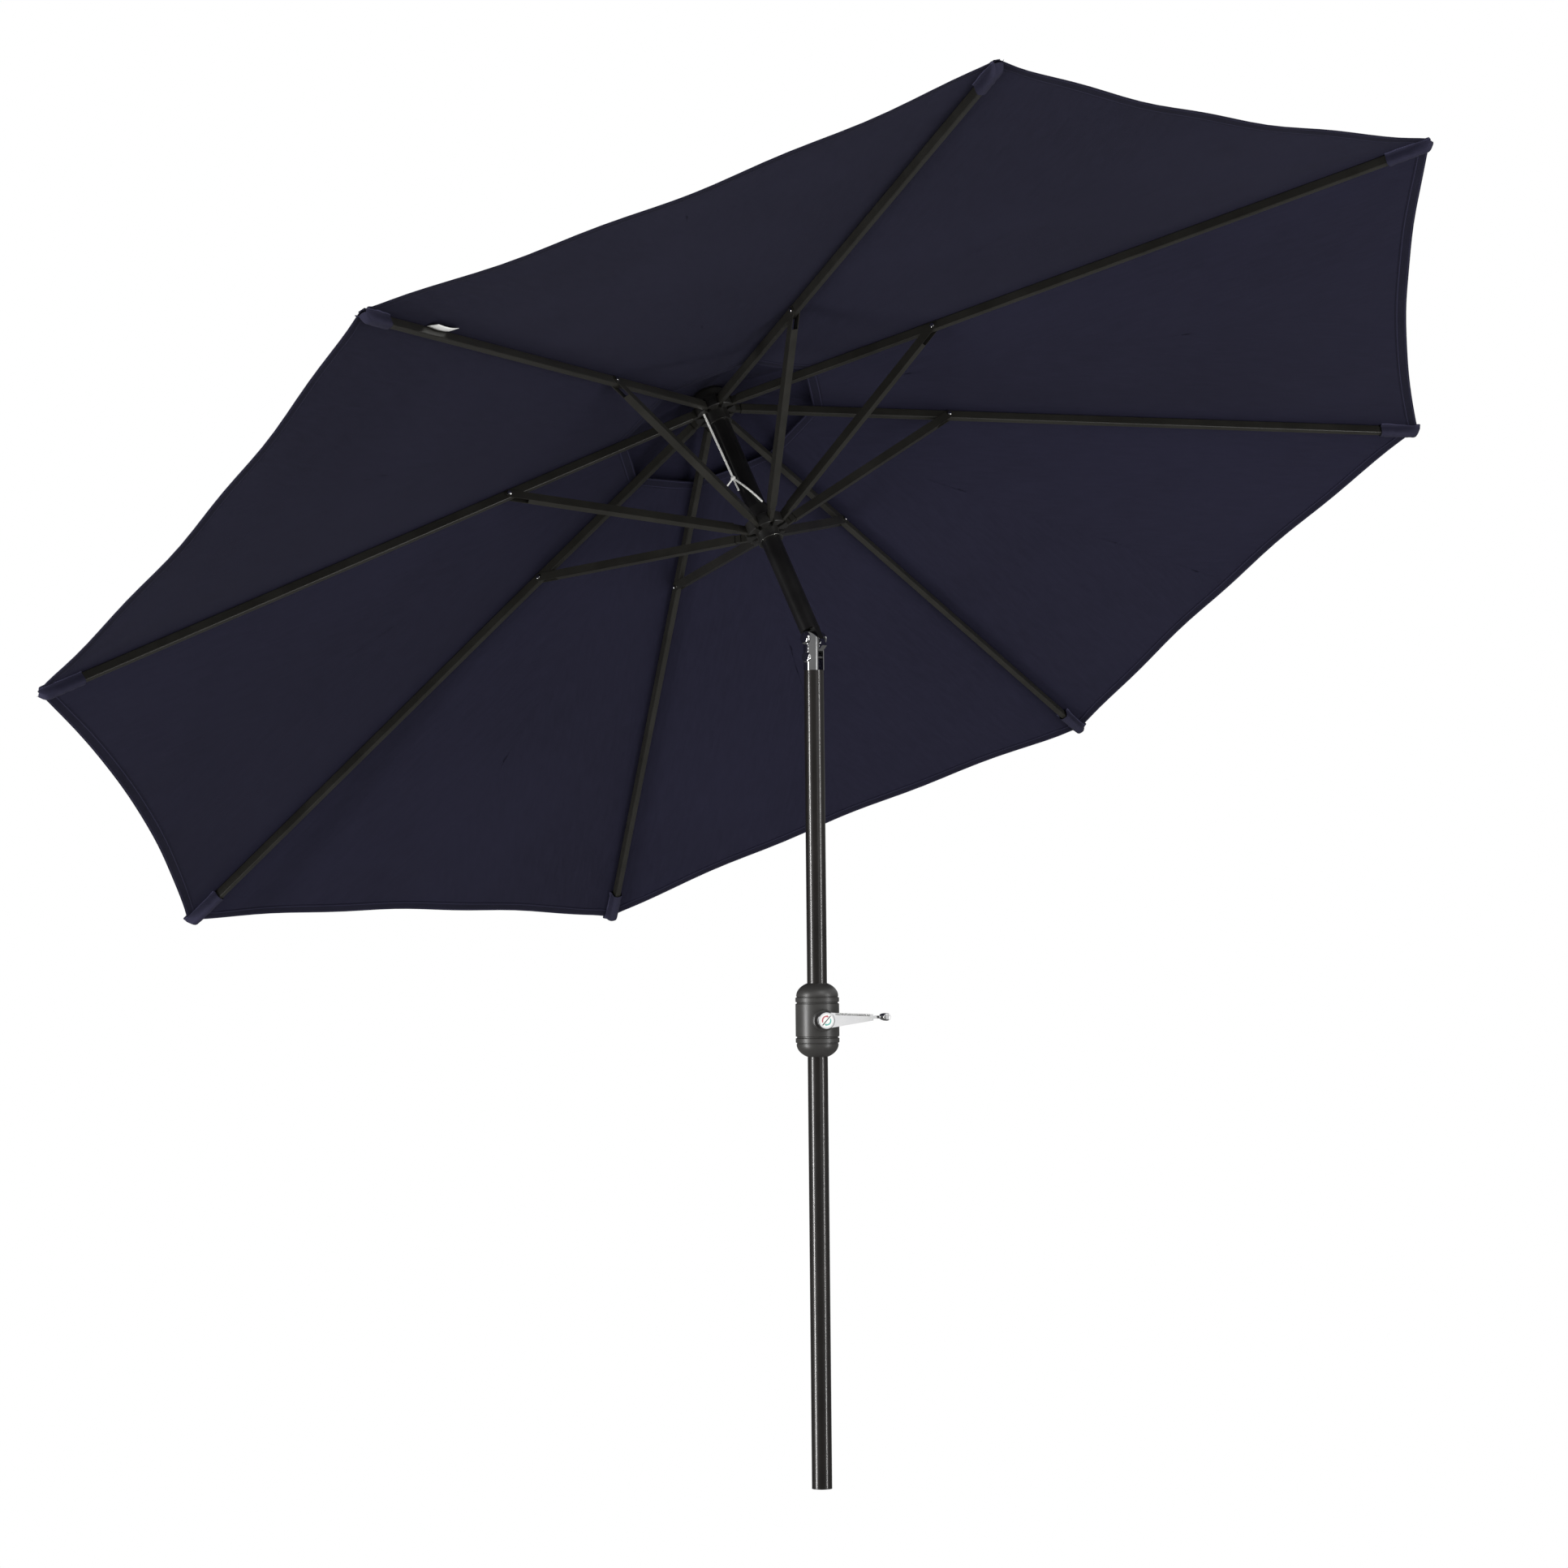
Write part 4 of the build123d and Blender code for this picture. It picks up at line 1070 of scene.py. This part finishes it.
@dataclass
class ButtonSpring:
    """The coil behind the tilt button, built at its length at rest.

    Attributes:
        foot: Place of its fixed end.
        radius: The coil's radius.
        wire: The wire's radius.
        turns: Number of coils.
        length: Its length at rest.
        keep: Share of the length left when the button is fully in; not used.
    """

    foot: tuple[float, float, float] = (0.0, 0.0103, 1.5555)
    radius: float = 0.0062
    wire: float = 0.0003
    turns: int = 3
    length: float = 0.0046
    keep: float = 0.08

    def build(self) -> None:
        """Build the coil on the body that holds its fixed end."""
        per_turn = 24
        steps = per_turn * self.turns
        path = []
        for step in range(steps + 1):
            angle = 2 * math.pi * step / per_turn
            place = (self.radius * math.cos(angle), self.length * step / steps, self.radius * math.sin(angle))
            path.append(Vector(self.foot) + Vector(place))
        coil = tube_mesh("button_coil", path, self.wire, Finishes.steel)
        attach(coil, "root")
        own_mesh(coil)
        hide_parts("button_spring")
        LOG.info("button spring")


@dataclass
class CrankBadge:
    """The disc on the crank's hub, with a plain bar and two turning arrows.

    Attributes:
        face: Distance of the disc's face from the pole's axis, along the crank's axis.
        raise_by: How far the marks stand on the disc.
        arrow_band: Inner and outer radius of the arrows.
        head_band: Inner and outer radius of the arrows' heads.
        head_turn: How far an arrow's tip is beyond its band, in degrees.
        bar_size: Half width and half length of the bar.
        bar_slant: The bar's angle above level, in degrees.
    """

    face: float = 0.0618
    raise_by: float = 0.00015
    arrow_band: tuple[float, float] = (0.0068, 0.0092)
    head_band: tuple[float, float] = (0.0054, 0.0106)
    head_turn: float = 26.0
    bar_size: tuple[float, float] = (0.0008, 0.0118)
    bar_slant: float = 48.0

    def __post_init__(self) -> None:
        """Read the crank's axes from its joint."""
        joint = joint_named("crank_turn")
        self.centre = Vector(joint["pos_m"])
        self.centre -= Vector((self.centre.x, self.centre.y, 0.0))
        self.axis = Vector(joint["axis"]).normalized()
        low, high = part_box("crank_handle")
        middle = Vector(((low[0] + high[0]) / 2, (low[1] + high[1]) / 2, 0.0))
        if self.axis.dot(middle) < 0:
            self.axis = -self.axis
        self.side = UP.cross(self.axis).normalized()

    def place(self, x: float, y: float) -> Vector:
        """Return a point of the marks from its place on the disc."""
        return self.centre + self.axis * (self.face + self.raise_by) + self.side * x + UP * y

    def plate(self, name: str, outline: list[tuple[float, float]], quads: list[tuple],
              material: bpy.types.Material) -> None:
        """Build one thin mark and fix it to the crank.

        Args:
            name: The piece's name.
            outline: Its points on the disc.
            quads: Its faces.
            material: Its material.
        """
        mark = mesh_object(name, [self.place(x, y) for x, y in outline], quads, material, smooth=False)
        thicken(mark, self.raise_by)
        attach(mark, "crank")

    def arrow(self, name: str, start: float, stop: float, material: bpy.types.Material) -> None:
        """Build one curved arrow between two angles, in degrees."""
        def around(radius: float, turn: float) -> tuple[float, float]:
            return radius * math.cos(math.radians(turn)), radius * math.sin(math.radians(turn))

        steps = 20
        points = [around(radius, start + (stop - start) * step / steps) for step in range(steps + 1)
                  for radius in self.arrow_band]
        quads = [(2 * k, 2 * k + 1, 2 * k + 3, 2 * k + 2) for k in range(steps)]
        first = len(points)
        points += [around(radius, stop) for radius in self.head_band]
        points.append(around(sum(self.head_band) / 2, stop + math.copysign(self.head_turn, stop - start)))
        quads.append((first, first + 1, first + 2))
        self.plate(name, points, quads, material)

    def build(self) -> None:
        """Build the bar and the two arrows."""
        (half, reach), slope = self.bar_size, math.radians(self.bar_slant)
        slant = Vector((math.cos(slope), math.sin(slope)))
        across = Vector((-slant.y, slant.x))
        corners = [slant * a * reach + across * b * half for a, b in ((-1, -1), (1, -1), (1, 1), (-1, 1))]
        self.plate("badge_bar", [(c.x, c.y) for c in corners], [(0, 1, 2, 3)], Finishes.badge_bar)
        self.arrow("badge_arrow_open", 205.0, 85.0, Finishes.badge_red)
        self.arrow("badge_arrow_close", 25.0, -95.0, Finishes.badge_teal)
        LOG.info("crank badge")


@dataclass
class GripRidges:
    """The row of fine ridges cast along the upper edge of the crank's arm.

    Attributes:
        badge: Gives the crank's axes.
        face: Distance of the arm's face from the pole's axis.
        start: First ridge, from the crank's axis.
        end: Last ridge.
        root: Half width of the arm at the crank's axis.
        tip: Half width of the arm at its end.
        length: Length over which the arm tapers.
        pitch: Distance between two ridges.
        rise_angle: The arm's angle above level, in degrees.
        height: How far a ridge stands on the arm.
        section: (inset from the arm's edge, share of the height) across a ridge.
    """

    badge: CrankBadge
    face: float = 0.0590
    start: float = 0.019
    end: float = 0.088
    root: float = 0.0150
    tip: float = 0.0058
    length: float = 0.092
    pitch: float = 0.0023
    rise_angle: float = 2.8
    height: float = 0.0008
    section: tuple[tuple[float, float], ...] = ((0.0002, 0.2), (0.0008, 1.0), (0.0030, 1.0), (0.0038, 0.1))

    def build(self) -> None:
        """Build the ridges as one piece on the crank."""
        angle = math.radians(self.rise_angle)
        arm = self.badge.side * math.cos(angle) + UP * math.sin(angle)
        over = UP * math.cos(angle) - self.badge.side * math.sin(angle)
        count = int((self.end - self.start) / self.pitch)
        points = []
        for step in range(4 * count + 1):
            x = self.start + self.pitch * step / 4
            edge = self.root + (self.tip - self.root) * x / self.length
            height = self.height * math.sin(math.pi * step / 4) ** 2
            for inset, share in self.section:
                points.append(self.badge.centre + self.badge.axis * (self.face + height * share)
                              + arm * x + over * (edge - inset))
        faces = grid_faces(4 * count + 1, len(self.section))
        ridges = mesh_object("crank_arm_ridges", points, faces, Finishes.steel)
        thicken(ridges, 0.0003)
        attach(ridges, "crank")
        LOG.info("ridges of the crank's arm")


# ---- Mesh finishing ----
def fix_normals(target: bpy.types.Object) -> None:
    """Turn every face of a piece outwards."""
    work = bmesh.new()
    work.from_mesh(target.data)
    bmesh.ops.recalc_face_normals(work, faces=work.faces)
    work.to_mesh(target.data)
    work.free()
    target.data.update()


def crisp_walls(target: bpy.types.Object, angle: float = 40.0) -> None:
    """Keep the shading of a sheet's faces apart from that of its cut edges.

    Args:
        target: The piece.
        angle: Edges that bend more than this, in degrees, are shaded sharp.
    """
    target.data.set_sharp_from_angle(angle=math.radians(angle))


def apply_modifiers(target: bpy.types.Object) -> None:
    """Replace a piece's mesh with the result of its modifiers."""
    depsgraph = bpy.context.evaluated_depsgraph_get()
    baked = bpy.data.meshes.new_from_object(target.evaluated_get(depsgraph))
    target.modifiers.clear()
    target.data = baked


def thicken(target: bpy.types.Object, thickness: float) -> None:
    """Give an open sheet a thickness, shared between its two sides."""
    solid = target.modifiers.new("thickness", "SOLIDIFY")
    solid.thickness = thickness
    solid.offset = 0.0
    apply_modifiers(target)


def soften(target: bpy.types.Object, levels: int = 1) -> None:
    """Subdivide a piece once so that its curves are round."""
    smooth = target.modifiers.new("smooth", "SUBSURF")
    smooth.levels = smooth.render_levels = levels
    apply_modifiers(target)


# ---- Frame parts and their finishes ----
class Wardrobe:
    """Which finish each fitted part of the frame wears."""

    parts: dict[str, tuple[str, ...]] = {
        "bronze": ("lower_pole", "middle_pole"),
        "black": ("upper_mast", "tilt_tongue"),
        "rib_coat": ("rib_", "strut_"),
        "chrome": ("crank_handle", "crank_knob", "tilt_clevis", "tilt_pin", "tilt_button", "tilt_ratchet"),
        "steel": ("housing_screws", "crank_shaft", "brake_spring", "button_spring", "hub_pins", "runner_pins",
                  "pulley_axle", "pole_joint_sleeve"),
        "housing": ("crank_housing_front", "crank_housing_rear"),
        "nylon": ("top_hub", "runner", "mast_cap", "finial", "cord_pulley", "pole_foot_cap", "crank_bush"),
        "cord": ("lift_cord_in_pole", "lift_cord_in_mast", "lift_cord_drop", "lift_cord_knot"),
        "badge_plate": ("crank_badge",),
    }

    @classmethod
    def finish_for(cls, node: str) -> str:
        """Return the name of the finish that a node wears."""
        for finish, names in cls.parts.items():
            if node in names or any(name.endswith("_") and node.startswith(name) for name in names):
                return finish
        return "nylon"

    def build(self) -> None:
        """Give every node of the frame its material."""
        for name, entry in frame["nodes"].items():
            material = getattr(Finishes, self.finish_for(name))
            for slot in entry.material_slots:
                slot.material = material
        LOG.info("dressed %d frame parts", len(frame["nodes"]))


# ---- Studio ----
@dataclass
class Studio:
    """Plain white surroundings, soft lights and the camera.

    Attributes:
        eye: The camera's place.
        look: The direction that it looks in.
        roll: How far it is turned about that direction, in radians.
        lens: Focal length in millimetres, on a 36 mm wide frame.
    """

    eye: tuple[float, float, float] = (-5.906, 5.525, 1.059)
    look: tuple[float, float, float] = (0.7352, -0.6779, 0.032)
    roll: float = 0.0098
    lens: float = 98.9

    def camera(self) -> None:
        """Place the camera."""
        data = bpy.data.cameras.new("camera")
        data.lens, data.sensor_width, data.clip_end = self.lens, 36.0, 60.0
        made = bpy.data.objects.new("camera", data)
        forward = Vector(self.look).normalized()
        level = forward.cross(UP).normalized()
        right = (level + level.cross(forward) * -self.roll).normalized()
        up = right.cross(forward).normalized()
        made.matrix_world = Matrix((
            (right.x, up.x, -forward.x, self.eye[0]), (right.y, up.y, -forward.y, self.eye[1]),
            (right.z, up.z, -forward.z, self.eye[2]), (0, 0, 0, 1)))
        bpy.context.scene.collection.objects.link(made)
        bpy.context.scene.camera = made

    def lamp(self, name: str, place: tuple, size: tuple, power: float, aim: tuple = (0.3, 0.0, 1.3)) -> None:
        """Add an area lamp aimed at a point."""
        data = bpy.data.lights.new(name, "AREA")
        data.shape, data.size, data.size_y, data.energy = "RECTANGLE", size[0], size[1], power
        made = bpy.data.objects.new(name, data)
        made.location = place
        made.rotation_euler = (Vector(aim) - Vector(place)).to_track_quat("-Z", "Y").to_euler()
        bpy.context.scene.collection.objects.link(made)

    def sky(self) -> None:
        """Light the scene from above with a soft sky, and show plain white behind the object."""
        world = bpy.data.worlds.new("studio_world")
        world.use_nodes = True
        nodes = NodeTree(world.node_tree)
        height = nodes.axes("Generated")["Z"]
        rise = nodes.ramp(height, 0.0, 0.9)
        above = nodes.math("ADD", nodes.math("MULTIPLY", rise, 1.3), 0.12)
        below = nodes.math("MULTIPLY", nodes.math("LESS_THAN", height, 0.0), 1.0)
        path = nodes.add("ShaderNodeLightPath")
        seen = nodes.mix("FLOAT", path.outputs["Is Glossy Ray"], nodes.math("ADD", above, below), above)
        strength = nodes.mix("FLOAT", path.outputs["Is Camera Ray"], seen, 1.0)
        shade = world.node_tree.nodes["Background"]
        shade.inputs["Color"].default_value = (1.0, 1.0, 1.0, 1.0)
        nodes.link(strength, shade.inputs["Strength"])
        bpy.context.scene.world = world

    def build(self) -> None:
        """Build the lights, world and camera."""
        bpy.context.scene.view_settings.view_transform = "Standard"
        self.sky()
        self.lamp("key", (-4.5, 1.0, 4.6), (2.4, 2.4), 60)
        self.lamp("front_card", (-5.4, 1.3, 1.15), (0.9, 1.6), 5, aim=(0.0, 0.0, 1.0))
        self.lamp("left_strip", (1.4, 4.8, 0.7), (0.5, 5.0), 330)
        self.lamp("right_strip", (-4.9, -1.6, 0.7), (0.3, 5.0), 150)
        self.camera()


def main() -> None:
    """Build every sub-assembly in order."""
    logging.basicConfig(level=logging.INFO, format="%(name)s: %(message)s")
    mast = MastFrame()
    canopy, badge = Canopy(mast), CrankBadge()
    assemblies = (Studio(), Wardrobe(), canopy, CornerPockets(canopy), VentCap(canopy), Fittings(mast),
                  LiftCord(mast), ButtonSpring(), badge, GripRidges(badge))
    for assembly in assemblies:
        assembly.build()


if __name__ == "__main__":
    main()
